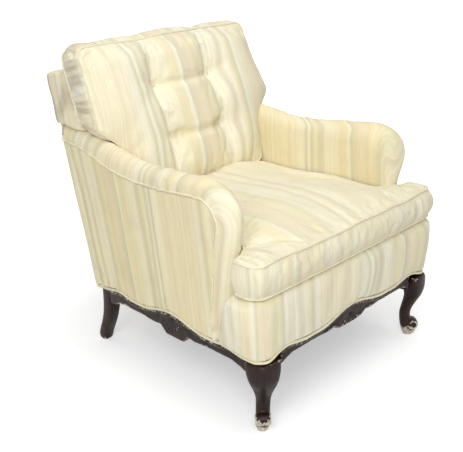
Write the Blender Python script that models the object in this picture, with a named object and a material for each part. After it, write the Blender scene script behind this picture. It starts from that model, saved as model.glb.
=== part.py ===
"""A low upholstered armchair with a carved show-wood base, in metres, standing on z = 0 and facing -Y."""

import math

import bmesh
import bpy
from mathutils import Vector

# Clearance between pieces that touch
GAP = 0.0003

# Driving sizes of the whole chair
OVERALL_DEPTH = 0.815
FRONT_HALF_WIDTH = 0.3185
REAR_TAPER = 0.0335
REAR_HALF_WIDTH = FRONT_HALF_WIDTH - REAR_TAPER
CUSHION_BULGE = 0.008
CUSHION_FRONT_Y = -OVERALL_DEPTH / 2 + CUSHION_BULGE
BORDER_SETBACK = 0.020
RAIL_FRONT_Y = CUSHION_FRONT_Y + BORDER_SETBACK
BACK_TOP_Z = 0.785
BACK_RAKE = 0.17
BACK_EDGE = 0.010
BACK_TOP_Y = OVERALL_DEPTH / 2 + BACK_RAKE * BACK_EDGE

# Seat rails and their show-wood aprons
RAIL_TOP_Z = 0.250
LEDGE_Z = 0.182
RAIL_THICK = 0.045
SHOW_THICK = 0.022
REBATE = 0.012
BEAD = 0.004
STATIONS = 25
REAR_RAIL_INSET = 0.122
REAR_RAIL_Y = OVERALL_DEPTH / 2 - REAR_RAIL_INSET

# Legs
KNEE_BLOCK = 0.062
KNEE_TOP_Z = 0.190
REAR_BLOCK = 0.046
REAR_FOOT_INSET = 0.023
REAR_FOOT_RAKE = 0.0375
REAR_FOOT = (REAR_HALF_WIDTH - REAR_FOOT_INSET, REAR_RAIL_Y + REAR_FOOT_RAKE)
REAR_FOOT_SIZE = 0.034

# Upholstery levels
DECK_TOP_Z = 0.352
DECK_THICK = 0.020
BURLAP_THICK = 0.0015
SEAT_BOXING = 0.084
SEAT_CROWN = 0.038
SEAT_CROWN_REACH = 0.12
EAR_OVERHANG = 0.0215
EAR_HALF_WIDTH = FRONT_HALF_WIDTH + EAR_OVERHANG
EAR_DEPTH = 0.0775
EAR_BULGE = 0.018
SEAT_REAR_INSET = 0.2295
SEAT_REAR_Y = OVERALL_DEPTH / 2 - SEAT_REAR_INSET
WELT_CHAMFER = 0.006
LOWER_CHAMFER = 0.010
LOWER_WELT_OUT = 0.002
WELT_RADIUS = WELT_CHAMFER / math.sqrt(2) - 2 * GAP

# Arms
ARM_THICK_FRONT = 0.0535
ARM_THICK_REAR = 0.0485
ARM_INNER_FRONT = FRONT_HALF_WIDTH - ARM_THICK_FRONT
ARM_INNER_REAR = REAR_HALF_WIDTH - ARM_THICK_REAR
ARM_FLARE_FRONT = 0.048
ARM_FLARE_REAR = 0.012
ARM_LIP = 0.0015
ARM_WALL = 0.020
ARM_FOOT_Z = RAIL_TOP_Z + GAP
PANEL_THICK = 0.009

# Back cushion, in its own leaning frame
BACK_LEAN = math.radians(16)
BACK_CUSHION_INSET = 0.0845
BACK_CUSHION_RISE = 0.050
BACK_CUSHION_TOP = (OVERALL_DEPTH / 2 - BACK_CUSHION_INSET, BACK_TOP_Z + BACK_CUSHION_RISE)
BACK_CUSHION_THICK = 0.088
BACK_CUSHION_HEIGHT = 0.400
BACK_CUSHION_OVERHANG = 0.009
BACK_CUSHION_HALF_WIDTH = REAR_HALF_WIDTH + BACK_CUSHION_OVERHANG
BACK_CUSHION_ARM_GAP = 0.010
BACK_CUSHION_HALF_FOOT = ARM_INNER_REAR - BACK_CUSHION_ARM_GAP
BACK_CUSHION_NECK = 0.168
BACK_CUSHION_CROWN = 0.034
BACK_BULGE = 0.004
TUFT_X = 0.098
TUFT_HEIGHTS = (0.122, 0.264)
TUFT_DEPTH = 0.030
BUTTON_RADIUS = 0.007
BUTTON_SEATS = (0.0066, 0.0054)

# Inner frame
POST_WIDTH = 0.040
POST_DEPTH = 0.045
POST_OUTER_X = ARM_INNER_REAR + ARM_WALL - 0.0005
SPRING_WIRE = 0.0018
SPRING_TURNS = 3.5
SPRING_RADIUS = 0.036
SPRING_WAIST = 0.026
SPRING_X = tuple(ARM_INNER_REAR * share for share in (-0.635, 0.0, 0.635))
SPRING_Y = tuple(RAIL_FRONT_Y + (REAR_RAIL_Y - RAIL_FRONT_Y) * share for share in (0.202, 0.488, 0.774))
WEB_WIDTH = 0.050
WEB_THICK = 0.002
BASE_WELT_RADIUS = 0.0035
BASE_WELT_SPACE = 2 * BASE_WELT_RADIUS + 4 * GAP

COLOURS = {
    "striped_cover": ((0.86, 0.80, 0.60), 0.85),
    "show_wood": ((0.045, 0.022, 0.016), 0.35),
    "frame_wood": ((0.52, 0.36, 0.20), 0.70),
    "spring_steel": ((0.35, 0.34, 0.33), 0.45),
    "jute": ((0.48, 0.36, 0.20), 0.95),
    "black_cambric": ((0.03, 0.03, 0.03), 0.95),
}


def material(name):
    """The named material, made once."""
    found = bpy.data.materials.get(name)
    if found:
        return found
    colour, roughness = COLOURS[name]
    made = bpy.data.materials.new(name)
    made.use_nodes = True
    shader = made.node_tree.nodes["Principled BSDF"]
    shader.inputs["Base Color"].default_value = (*colour, 1)
    shader.inputs["Roughness"].default_value = roughness
    shader.inputs["Metallic"].default_value = 1.0 if name == "spring_steel" else 0.0
    return made


def finish(bm, name, slot, smooth=True):
    """Closes up a bmesh as a named object with its material."""
    bmesh.ops.remove_doubles(bm, verts=bm.verts, dist=0.00002)
    bmesh.ops.recalc_face_normals(bm, faces=bm.faces)
    mesh = bpy.data.meshes.new(name)
    bm.to_mesh(mesh)
    bm.free()
    if smooth:
        mesh.shade_smooth()
        mesh.set_sharp_from_angle(angle=math.radians(40))
    mesh.materials.append(material(slot))
    made = bpy.data.objects.new(name, mesh)
    bpy.context.scene.collection.objects.link(made)
    return made


def loft(loops, name, slot, smooth=True):
    """A closed solid through rings of equally many points, with flat ends."""
    bm = bmesh.new()
    rings = [[bm.verts.new(point) for point in loop] for loop in loops]
    for ring, following in zip(rings, rings[1:]):
        for i, vert in enumerate(ring):
            j = (i + 1) % len(ring)
            bm.faces.new((vert, ring[j], following[j], following[i]))
    bm.faces.new(list(reversed(rings[0])))
    bm.faces.new(rings[-1])
    return finish(bm, name, slot, smooth)


def box(name, slot, low, high, shear_y=0.0):
    """A box between two corners, whose y grows by shear_y for each metre above its foot."""
    loops = []
    for z in (low[2], high[2]):
        lean = shear_y * (z - low[2])
        corners = ((low[0], low[1]), (high[0], low[1]), (high[0], high[1]), (low[0], high[1]))
        loops.append([(x, y + lean, z) for x, y in corners])
    return loft(loops, name, slot, smooth=False)


def boolean(target, cutter, operation="DIFFERENCE"):
    """Cuts or joins the cutter, which then stays as a hidden helper."""
    modifier = target.modifiers.new(operation.title(), "BOOLEAN")
    modifier.operation = operation
    modifier.object = cutter
    cutter.hide_render = True
    cutter.display_type = "WIRE"


def mirrored(source, name):
    """A copy of a finished object across the chair's middle plane."""
    bpy.context.view_layer.update()
    graph = bpy.context.evaluated_depsgraph_get()
    mesh = bpy.data.meshes.new_from_object(source.evaluated_get(graph), depsgraph=graph)
    flip = bmesh.new()
    flip.from_mesh(mesh)
    bmesh.ops.scale(flip, vec=(-1, 1, 1), verts=flip.verts)
    bmesh.ops.reverse_faces(flip, faces=flip.faces)
    flip.to_mesh(mesh)
    flip.free()
    copy = bpy.data.objects.new(name, mesh)
    bpy.context.scene.collection.objects.link(copy)
    return copy


def both_sides(right, stem):
    """Names a piece of the +X side and makes its mirror image."""
    right.name = f"{stem}_left"
    mirrored(right, f"{stem}_right")


def smooth_curve(points, count):
    """Evenly spaced points on a smooth curve through the given ones."""
    ends = [2 * Vector(points[0]) - Vector(points[1]), 2 * Vector(points[-1]) - Vector(points[-2])]
    knots = [ends[0], *map(Vector, points), ends[1]]
    fine = []
    for a, b, c, d in zip(knots, knots[1:], knots[2:], knots[3:]):
        for step in range(12):
            t = step / 12
            fine.append(
                0.5 * (2 * b + (c - a) * t + (2 * a - 5 * b + 4 * c - d) * t**2
                       + (3 * b - a - 3 * c + d) * t**3)
            )
    fine.append(Vector(points[-1]))
    along = [0.0]
    for a, b in zip(fine, fine[1:]):
        along.append(along[-1] + (b - a).length)
    spaced = []
    index = 0
    for k in range(count):
        want = along[-1] * k / (count - 1)
        while index < len(fine) - 2 and along[index + 1] < want:
            index += 1
        share = (want - along[index]) / (along[index + 1] - along[index])
        spaced.append(fine[index].lerp(fine[index + 1], min(1.0, share)))
    return spaced


def bump(v):
    """A smooth hump, 1 at v = 0 and 0 beyond v = 1."""
    return 0.5 * (1 + math.cos(math.pi * min(1.0, abs(v))))


def rail_half_width(y):
    """The outer face of the side rails, which taper towards the rear."""
    share = (y - RAIL_FRONT_Y) / (REAR_RAIL_Y - RAIL_FRONT_Y)
    return FRONT_HALF_WIDTH + (REAR_HALF_WIDTH - FRONT_HALF_WIDTH) * share


def back_face(z):
    """The rear face of the raked back."""
    return BACK_TOP_Y - BACK_RAKE * (BACK_TOP_Z - z)


def inside_back_face(z):
    """The front face of the padded back, parallel to the back cushion."""
    top_y = BACK_CUSHION_TOP[0] + GAP / math.cos(BACK_LEAN)
    return top_y - (BACK_CUSHION_TOP[1] - z) * math.tan(BACK_LEAN)


class Apron:
    """The wavy top and bottom edges of a show-wood rail, from its middle (u = 0) to its corner (u = 1)."""

    def __init__(self, top, middle, shoulder, shoulder_at, end_drop, bottom, lobe, lobe_width):
        self.top, self.middle, self.shoulder, self.shoulder_at = top, middle, shoulder, shoulder_at
        self.end_drop, self.bottom, self.lobe, self.lobe_width = end_drop, bottom, lobe, lobe_width

    def top_z(self, u):
        """The height of the upper edge."""
        u = abs(u)
        rise = self.middle * bump(u / 0.40) + self.shoulder * bump((u - self.shoulder_at) / 0.21)
        return self.top + rise - self.end_drop * bump((u - 1) / 0.13)

    def bottom_z(self, u):
        """The height of the lower edge, with its carved lobe and the sweep into the leg."""
        u = abs(u)
        plateau = bump(max(0.0, u - self.lobe_width) / 0.06)
        step = 0.22 * bump((u - self.lobe_width - 0.16) / 0.10)
        return self.bottom - self.lobe * (plateau + step) - 0.016 * bump((u - 0.86) / 0.20)


FRONT_APRON = Apron(0.197, 0.022, 0.010, 0.76, 0.010, 0.178, 0.012, 0.12)
SIDE_APRON = Apron(0.188, 0.021, 0.009, 0.69, 0.006, 0.161, 0.021, 0.11)


def rail_section(apron, u):
    """(offset from the outer face, height) round a show-wood rail's section. Positive offsets stand proud."""
    top, bottom = apron.top_z(u), apron.bottom_z(u)
    return (
        (-SHOW_THICK, bottom + 0.002),
        (-0.003, bottom),
        (0.0, bottom + 0.004),
        (-0.001, top - 0.012),
        (BEAD, top - 0.007),
        (BEAD, top - 0.002),
        (BEAD - 0.002, top),
        (-REBATE, top),
        (-REBATE, RAIL_TOP_Z),
        (-RAIL_THICK, RAIL_TOP_Z),
        (-RAIL_THICK, LEDGE_Z),
        (-SHOW_THICK, LEDGE_Z),
    )


def side_u(y):
    """Where y lies along a side rail, from -1 at the front corner to 1 at the rear one."""
    middle = (RAIL_FRONT_Y + REAR_RAIL_Y) / 2
    return (y - middle) / (REAR_RAIL_Y - middle)


def side_stations():
    """The y of each station along a side rail, shared with the pieces that follow its edge."""
    start, end = RAIL_FRONT_Y + KNEE_BLOCK, REAR_RAIL_Y - REAR_BLOCK
    return [start + (end - start) * k / (STATIONS - 1) for k in range(STATIONS)]


def seat_rails():
    """The carved front and side rails and the plain rear rail."""
    front_end = FRONT_HALF_WIDTH - KNEE_BLOCK
    loops = []
    for k in range(STATIONS):
        x = -front_end + 2 * front_end * k / (STATIONS - 1)
        section = rail_section(FRONT_APRON, x / FRONT_HALF_WIDTH)
        loops.append([(x, RAIL_FRONT_Y - out, z) for out, z in section])
    loft(loops, "front_rail", "show_wood")

    loops = []
    for y in side_stations():
        section = rail_section(SIDE_APRON, side_u(y))
        loops.append([(rail_half_width(y) + out, y, z) for out, z in section])
    both_sides(loft(loops, "side_rail", "show_wood"), "side_rail")

    rear_end = REAR_HALF_WIDTH - REAR_BLOCK - GAP
    rear_y = REAR_RAIL_Y - REBATE
    low = (-rear_end, rear_y - RAIL_THICK, LEDGE_Z)
    box("rear_rail", "frame_wood", low, (rear_end, rear_y, RAIL_TOP_Z))


def diagonal_ring(z, inner, outer, half_width, squareness, count=14):
    """A ring round a front leg, whose sizes run along and across the corner's diagonal."""
    middle, reach = (inner + outer) / 2, (outer - inner) / 2
    ring = []
    for k in range(count):
        angle = 2 * math.pi * k / count
        c, s = math.cos(angle), math.sin(angle)
        along = middle + reach * math.copysign(abs(c) ** (2 / squareness), c)
        across = half_width * math.copysign(abs(s) ** (2 / squareness), s)
        ring.append(((along + across) / math.sqrt(2), (across - along) / math.sqrt(2), z))
    return ring


# Height, inner and outer reach from the knee's own diagonal line, half width and squareness
CABRIOLE = (
    (0.000, -0.049, -0.028, 0.010, 2.0),
    (0.004, -0.053, -0.021, 0.014, 2.0),
    (0.014, -0.057, -0.017, 0.0165, 2.0),
    (0.030, -0.063, -0.026, 0.0175, 2.0),
    (0.046, -0.066, -0.034, 0.0178, 2.0),
    (0.070, -0.069, -0.038, 0.018, 2.0),
    (0.084, -0.067, -0.036, 0.019, 2.0),
    (0.098, -0.064, -0.030, 0.022, 2.0),
    (0.114, -0.061, -0.022, 0.0275, 1.85),
    (0.127, -0.060, -0.013, 0.033, 1.7),
    (0.143, -0.063, -0.004, 0.0385, 1.5),
    (0.160, -0.070, -0.001, 0.0425, 1.35),
    (0.176, -0.074, 0.000, 0.0440, 1.3),
    (0.186, -0.074, -0.001, 0.0435, 1.3),
    (0.190, -0.070, -0.005, 0.0400, 1.3),
)
KNEE_PROUD = 0.0125
FRONT_FOOT_SETBACK = 0.014
FRONT_FOOT_SETBACK_Z = 0.125
SCROLL_RADIUS = 0.0165
SCROLL_HALF_WIDTH = 0.0190
SCROLL_Z = 0.034


def front_foot_setback(z):
    """How far the front leg stands back at a height, none from its knee up."""
    return FRONT_FOOT_SETBACK * max(0.0, 1 - z / FRONT_FOOT_SETBACK_Z)


def front_legs():
    """The cabriole front legs, each with its scroll toe and the square post inside the corner."""
    knee = (FRONT_HALF_WIDTH - RAIL_FRONT_Y) / math.sqrt(2) + KNEE_PROUD
    skew = (FRONT_HALF_WIDTH + RAIL_FRONT_Y) / 2
    loops = []
    for z, inner, outer, half_width, squareness in CABRIOLE:
        ring = diagonal_ring(z, knee + inner, knee + outer, half_width, squareness)
        loops.append([(x + skew, y + skew + front_foot_setback(z), height) for x, y, height in ring])
    leg = loft(loops, "front_leg", "show_wood")

    inner_x = FRONT_HALF_WIDTH - KNEE_BLOCK + GAP
    front_y, rear_y = RAIL_FRONT_Y + REBATE, RAIL_FRONT_Y + KNEE_BLOCK - GAP
    outline = (
        (inner_x, front_y), (rail_half_width(front_y) - REBATE, front_y),
        (rail_half_width(rear_y) - REBATE, rear_y), (inner_x, rear_y),
    )
    loops = [[(x, y, z) for x, y in outline] for z in (KNEE_TOP_Z - 0.035, RAIL_TOP_Z)]
    boolean(leg, loft(loops, "front_leg_post", "show_wood", False), "UNION")

    toe = knee - 0.0125 - SCROLL_RADIUS
    loops = []
    for across, share in ((-1.0, 0.75), (-0.6, 1.0), (0.6, 1.0), (1.0, 0.75)):
        ring = []
        for k in range(14):
            angle = 2 * math.pi * k / 14
            along = toe + SCROLL_RADIUS * share * math.cos(angle)
            side = across * SCROLL_HALF_WIDTH
            x = (along + side) / math.sqrt(2) + skew
            y = (side - along) / math.sqrt(2) + skew + front_foot_setback(SCROLL_Z)
            ring.append((x, y, SCROLL_Z + SCROLL_RADIUS * share * math.sin(angle)))
        loops.append(ring)
    boolean(leg, loft(loops, "front_leg_scroll", "show_wood"), "UNION")
    both_sides(leg, "front_leg")


def rear_legs():
    """The plain rear legs, raked backwards, with chamfered corners and a small worn foot."""
    corner_x = rail_half_width(REAR_RAIL_Y - REBATE)
    top_x, top_y = corner_x - REAR_BLOCK / 2, REAR_RAIL_Y - REBATE - REAR_BLOCK / 2 + 0.0115
    levels = (
        (0.000, *REAR_FOOT, 0.012),
        (0.008, *REAR_FOOT, REAR_FOOT_SIZE / 2),
        (0.030, REAR_FOOT[0], REAR_FOOT[1] - 0.006, 0.0185),
        (0.080, top_x + 0.001, top_y + 0.022, 0.0190),
        (0.130, top_x + 0.002, top_y + 0.006, 0.0205),
        (0.172, top_x, top_y, REAR_BLOCK / 2 - 0.0005),
        (LEDGE_Z, top_x, top_y, REAR_BLOCK / 2 - 0.0005),
    )
    loops = []
    for z, x, y, half in levels:
        cut = half * 0.72
        corners = (
            (half, cut), (cut, half), (-cut, half), (-half, cut),
            (-half, -cut), (-cut, -half), (cut, -half), (half, -cut),
        )
        loops.append([(x + a, y + b, z) for a, b in corners])
    leg = loft(loops, "rear_leg", "show_wood")
    low = (REAR_HALF_WIDTH - REAR_BLOCK, REAR_RAIL_Y - REAR_BLOCK + GAP, LEDGE_Z - 0.020)
    high = (REAR_HALF_WIDTH - REBATE, REAR_RAIL_Y - REBATE, RAIL_TOP_Z)
    boolean(leg, box("rear_leg_post", "show_wood", low, high), "UNION")
    both_sides(leg, "rear_leg")


def corner_blocks():
    """Glued blocks that brace each corner of the seat frame, notched round the leg posts."""
    low_z, high_z = LEDGE_Z + 0.010, RAIL_TOP_Z - 0.010
    reach = 0.055
    front_inner = RAIL_FRONT_Y + RAIL_THICK + GAP
    notch_x = FRONT_HALF_WIDTH - KNEE_BLOCK
    notch_y = RAIL_FRONT_Y + KNEE_BLOCK
    far_y = notch_y + reach
    outline = (
        (notch_x - reach, front_inner),
        (notch_x, front_inner),
        (notch_x, notch_y),
        (rail_half_width(notch_y) - RAIL_THICK - 3 * GAP, notch_y),
        (rail_half_width(far_y) - RAIL_THICK - GAP, far_y),
    )
    loops = [[(x, y, z) for x, y in outline] for z in (low_z, high_z)]
    both_sides(loft(loops, "block", "frame_wood", False), "front_corner_block")

    rear_inner = REAR_RAIL_Y - REBATE - RAIL_THICK - GAP
    notch_x = REAR_HALF_WIDTH - REAR_BLOCK - 2 * GAP
    side_y = REAR_RAIL_Y - REAR_BLOCK - GAP
    near_y = rear_inner - reach
    outline = (
        (notch_x - reach, rear_inner),
        (notch_x, rear_inner),
        (rail_half_width(rear_inner) - RAIL_THICK - GAP, min(side_y, rear_inner)),
        (rail_half_width(near_y) - RAIL_THICK - GAP, near_y),
    )
    loops = [[(x, y, z) for x, y in outline] for z in (low_z, high_z)]
    both_sides(loft(loops, "block", "frame_wood", False), "rear_corner_block")


def back_frame():
    """Two raked posts on the rear corners, a crest rail between their tops and a lower back rail."""
    foot_z = RAIL_TOP_Z + GAP
    panel_y = back_face(foot_z) - PANEL_THICK - GAP
    low = (POST_OUTER_X - POST_WIDTH, panel_y - POST_DEPTH, foot_z)
    high = (POST_OUTER_X, panel_y, BACK_TOP_Z - 0.020)
    both_sides(box("post", "frame_wood", low, high, BACK_RAKE), "back_post")
    half = POST_OUTER_X - POST_WIDTH - GAP
    crest_z = BACK_TOP_Z - 0.070
    for name, low_z, high_z in (("crest_rail", crest_z, crest_z + 0.050), ("lower_back_rail", 0.400, 0.440)):
        rear = back_face(low_z) - PANEL_THICK - GAP
        box(name, "frame_wood", (-half, rear - 0.030, low_z), (half, rear, high_z), BACK_RAKE)


def tube(name, points, radius, slot, cyclic=False, sides=1):
    """A round cord through the points, such as a welt or a spring's wire."""
    curve = bpy.data.curves.new(name, "CURVE")
    curve.dimensions = "3D"
    curve.bevel_depth = radius
    curve.bevel_resolution = sides
    curve.use_fill_caps = True
    curve.twist_mode = "MINIMUM"
    spline = curve.splines.new("POLY")
    spline.points.add(len(points) - 1)
    for knot, place in zip(spline.points, points):
        knot.co = (*place, 1)
    spline.use_cyclic_u = cyclic
    curve.materials.append(material(slot))
    made = bpy.data.objects.new(name, curve)
    bpy.context.scene.collection.objects.link(made)
    return made


def suspension():
    """Webbing under the rails, nine coil springs on it, and the burlap that they carry."""
    half = FRONT_HALF_WIDTH - RAIL_THICK - 0.016
    front_y = RAIL_FRONT_Y + SHOW_THICK + 0.006
    rear_y = REAR_RAIL_Y - REAR_BLOCK - 0.002
    strips_x = [SPRING_X[0], (SPRING_X[0] + SPRING_X[1]) / 2, SPRING_X[1],
                (SPRING_X[1] + SPRING_X[2]) / 2, SPRING_X[2]]
    strips_y = SPRING_Y
    columns = [-half, *(x + s * WEB_WIDTH / 2 for x in strips_x for s in (-1, 1)), half]
    rows = [front_y, *(y + s * WEB_WIDTH / 2 for y in strips_y for s in (-1, 1)), rear_y]

    def on_a_strip(x, y):
        near_x = any(abs(x - strip) < WEB_WIDTH / 2 for strip in strips_x)
        return near_x or any(abs(y - strip) < WEB_WIDTH / 2 for strip in strips_y)

    web_top = LEDGE_Z - GAP

    def web_place(x, y, side):
        return (x, y, web_top - (0 if side else WEB_THICK))

    lattice(columns, rows, on_a_strip, web_place, "seat_webbing", "jute")

    burlap_low = DECK_TOP_Z - DECK_THICK - GAP - BURLAP_THICK
    foot = LEDGE_Z + SPRING_WIRE
    height = burlap_low - GAP - SPRING_WIRE - foot
    steps = 7
    number = 0
    for y in SPRING_Y:
        for x in SPRING_X:
            number += 1
            points = []
            for k in range(int(SPRING_TURNS * steps) + 1):
                share = k / int(SPRING_TURNS * steps)
                angle = 2 * math.pi * k / steps
                radius = SPRING_WAIST + (SPRING_RADIUS - SPRING_WAIST) * abs(2 * share - 1)
                spot = (x + radius * math.cos(angle), y + radius * math.sin(angle))
                points.append((*spot, foot + height * share))
            tube(f"seat_spring_{number}", points, SPRING_WIRE, "spring_steel", sides=0)

    low = (-DECK_HALF_WIDTH, DECK_FRONT_Y, burlap_low)
    high = (DECK_HALF_WIDTH, DECK_REAR_Y, burlap_low + BURLAP_THICK)
    box("spring_burlap", "jute", low, high)
    cut = 0.038
    outline = (
        (-half, front_y + cut), (-half + cut, front_y), (half - cut, front_y), (half, front_y + cut),
        (half, rear_y - cut), (half - cut, rear_y), (-half + cut, rear_y), (-half, rear_y - cut),
    )
    top = LEDGE_Z - 2 * GAP - WEB_THICK
    loops = [[(x, y, z) for x, y in outline] for z in (top - 0.0012, top)]
    loft(loops, "dust_cover", "black_cambric", False)


def lattice(columns, rows, inside, place, name, slot):
    """A flat lattice on a grid, with a wall round each of its gaps."""
    bm = bmesh.new()
    verts = {}

    def vert(i, j, side):
        if (i, j, side) not in verts:
            verts[i, j, side] = bm.verts.new(place(columns[i], rows[j], side))
        return verts[i, j, side]

    def kept(i, j):
        if not (0 <= i < len(columns) - 1 and 0 <= j < len(rows) - 1):
            return False
        return inside((columns[i] + columns[i + 1]) / 2, (rows[j] + rows[j + 1]) / 2)

    for i in range(len(columns) - 1):
        for j in range(len(rows) - 1):
            if not kept(i, j):
                continue
            corners = ((i, j), (i + 1, j), (i + 1, j + 1), (i, j + 1))
            bm.faces.new([vert(*corner, 1) for corner in corners])
            bm.faces.new([vert(*corner, 0) for corner in reversed(corners)])
            beside = ((i, j - 1), (i + 1, j), (i, j + 1), (i - 1, j))
            for (a, b), neighbour in zip(zip(corners, corners[1:] + corners[:1]), beside):
                if not kept(*neighbour):
                    bm.faces.new((vert(*a, 0), vert(*b, 0), vert(*b, 1), vert(*a, 1)))
    return finish(bm, name, slot, smooth=False)


BORDER_WALL = 0.032
FRONT_BORDER_FOOT = 0.010
FRONT_BORDER_SWELL = 0.023
SIDE_BORDER_FOOT = 0.018
SIDE_BORDER_SWELL = 0.038
CORNER_RADIUS = 0.024
DECK_HALF_WIDTH = ARM_INNER_REAR - 20 * GAP
DECK_FRONT_Y = RAIL_FRONT_Y + BORDER_WALL + 2 * GAP
DECK_REAR_Y = inside_back_face(DECK_TOP_Z - DECK_THICK - BURLAP_THICK) - 0.003
WING_REACH = 0.071
WING_TOP_Y = RAIL_FRONT_Y + WING_REACH
WING_SLOPE = 0.41


def border_stations():
    """(middle line point, outward direction, height of the show wood) round the front of the seat."""
    wing_foot = WING_TOP_Y + WING_SLOPE * (DECK_TOP_Z - 0.20)
    stations = []
    for k in range(4):
        y = wing_foot + (RAIL_FRONT_Y + CORNER_RADIUS - wing_foot) * k / 3
        stations.append(((rail_half_width(y), y), 0.0, SIDE_APRON.top_z(side_u(y))))
    for k in (1, 2, 3):
        angle = math.pi / 2 * k / 4
        x = FRONT_HALF_WIDTH - CORNER_RADIUS * (1 - math.cos(angle))
        y = RAIL_FRONT_Y + CORNER_RADIUS * (1 - math.sin(angle))
        stations.append(((x, y), angle, KNEE_TOP_Z + 0.002))
    half = FRONT_HALF_WIDTH - CORNER_RADIUS
    for k in range(11):
        x = half - half * k / 10
        height = max(FRONT_APRON.top_z(x / FRONT_HALF_WIDTH), 0.0)
        stations.append(((x, RAIL_FRONT_Y), math.pi / 2, height))
    return stations


def leg_clear(x, y, height):
    """The show wood's height, raised to clear the top of the knee near the front corners."""
    near = (abs(x) > FRONT_HALF_WIDTH - KNEE_BLOCK - 0.012) and (y < RAIL_FRONT_Y + KNEE_BLOCK + 0.012)
    return max(height, KNEE_TOP_Z + 0.001) if near else height


def front_border():
    """The padded band under the seat cushion, which wraps both front corners, and the welt below it."""
    loops, welt = [], []
    right = border_stations()
    mirror = [((-x, y), math.pi - a, z) for (x, y), a, z in reversed(right[:-1])]
    last = len(right) + len(mirror) - 1
    for index, ((x, y), angle, height) in enumerate(right + mirror):
        ledge = leg_clear(x, y, height)
        foot = ledge + BASE_WELT_SPACE
        out_x, out_y = math.cos(angle), -math.sin(angle)
        base = FRONT_BORDER_FOOT + (SIDE_BORDER_FOOT - FRONT_BORDER_FOOT) * abs(out_x)
        swell = FRONT_BORDER_SWELL + (SIDE_BORDER_SWELL - FRONT_BORDER_SWELL) * abs(out_x)
        section = (
            (base, foot),
            (base + 0.6 * (swell - base), 0.250),
            (swell, 0.300),
            (swell - 0.002, 0.336),
            (base, DECK_TOP_Z - 0.001),
            (-BORDER_WALL, DECK_TOP_Z - 0.001),
            (-BORDER_WALL, RAIL_TOP_Z + GAP),
            (-REBATE + GAP, RAIL_TOP_Z + GAP),
            (-REBATE + GAP, foot),
        )
        ring = []
        for out, z in section:
            px, py = x + out_x * out, y + out_y * out
            if out < 0 and 0.01 < angle < math.pi - 0.01 and abs(out_x) > 0.01:
                px = math.copysign(FRONT_HALF_WIDTH + out, x)
                py = RAIL_FRONT_Y - out
            wing = WING_TOP_Y + WING_SLOPE * (DECK_TOP_Z - z)
            if index in (0, last):
                py = wing
            elif index in (1, last - 1):
                py += 0.6 * (wing - right[0][0][1])
            if index < 3 or index > last - 3:
                px = math.copysign(rail_half_width(py) + out, x)
            ring.append((px, py, z))
        loops.append(ring)
        reach = base * 0.6
        welt.append((x + out_x * reach, y + out_y * reach, ledge + BASE_WELT_SPACE / 2))
    loft(loops, "front_border", "striped_cover")
    tube("front_base_welt", welt[1:-1], BASE_WELT_RADIUS, "striped_cover")


# The crest of the arm's roll and front, then the edge of its outer panel, seen from the side, from
# the back to the foot: for each, the share of the way from the front rail to the back's top, and the
# height
ARM_PROFILE = (
    (0.9452, 0.646, 0.9452, 0.604),
    (0.7893, 0.632, 0.7855, 0.588),
    (0.6828, 0.616, 0.6853, 0.564),
    (0.5966, 0.604, 0.5826, 0.552),
    (0.5141, 0.592, 0.5002, 0.547),
    (0.3924, 0.59, 0.3988, 0.548),
    (0.2770, 0.597, 0.2973, 0.555),
    (0.1845, 0.599, 0.2149, 0.558),
    (0.1135, 0.587, 0.1667, 0.55),
    (0.0729, 0.561, 0.1376, 0.53),
    (0.0640, 0.529, 0.1249, 0.505),
    (0.0729, 0.486, 0.1363, 0.472),
    (0.0869, 0.445, 0.1490, 0.44),
    (0.0995, 0.39, 0.1693, 0.387),
    (0.1173, 0.33, 0.1896, 0.325),
    (0.1445, 0.267, 0.2029, 0.267),
    (0.1788, 0.197, 0.2105, 0.195),
)
ARM_LENGTH = BACK_TOP_Y - RAIL_FRONT_Y
ARM_POST_SHARE = 0.224
ARM_STATIONS = 22


def arm_inner(y):
    """The inner face of the arm."""
    share = (y - RAIL_FRONT_Y) / (REAR_RAIL_Y - RAIL_FRONT_Y)
    return ARM_INNER_FRONT + (ARM_INNER_REAR - ARM_INNER_FRONT) * share


def arm_outer(y, z):
    """The outer face of the arm, which flares above the show wood, most at the front."""
    share = (y - RAIL_FRONT_Y) / (REAR_RAIL_Y - RAIL_FRONT_Y)
    flare = ARM_FLARE_FRONT + (ARM_FLARE_REAR - ARM_FLARE_FRONT) * share
    return rail_half_width(y) + BEAD + flare * (z - LEDGE_Z)


def arm_rim(inset=1.0, extra=0.0):
    """The line a share of the way from the crest to the panel's edge, moved inwards by extra: (y, z) points."""
    drawn = [(a * ARM_LENGTH, b, c * ARM_LENGTH, d) for a, b, c, d in ARM_PROFILE]
    profile = smooth_curve(drawn, ARM_STATIONS)
    rim = []
    for k, spot in enumerate(profile):
        ahead, behind = profile[min(k + 1, len(profile) - 1)], profile[max(k - 1, 0)]
        run = (ahead - behind)
        run = Vector((run[2], run[3])).normalized()
        place = Vector((spot[0], spot[1])).lerp(Vector((spot[2], spot[3])), inset)
        place.x += RAIL_FRONT_Y
        rim.append(place + Vector((-run.y, run.x)) * extra)
    rim[0].x = back_face(rim[0].y) - PANEL_THICK - 2 * GAP
    return rim


def arm_ring(rim, across, foot_z, rear=None):
    """A closed ring of the arm: the rim, then its foot and its rear corner. across(y, z) gives x."""
    points = [Vector((p.x, max(p.y, foot_z))) for p in rim]
    points[-1].y = foot_z
    rear_y = back_face(foot_z) - PANEL_THICK - 2 * GAP if rear is None else rear
    points.append(Vector((rear_y, foot_z)))
    return [(across(p.x, p.y), p.x, p.y) for p in points]


def past_the_rear(rim, rear):
    """The rim's first point moved on along its first edge to y = rear."""
    first, second = rim[0], rim[1]
    return second + (first - second) * (rear - second.x) / (first.x - second.x)


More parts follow.
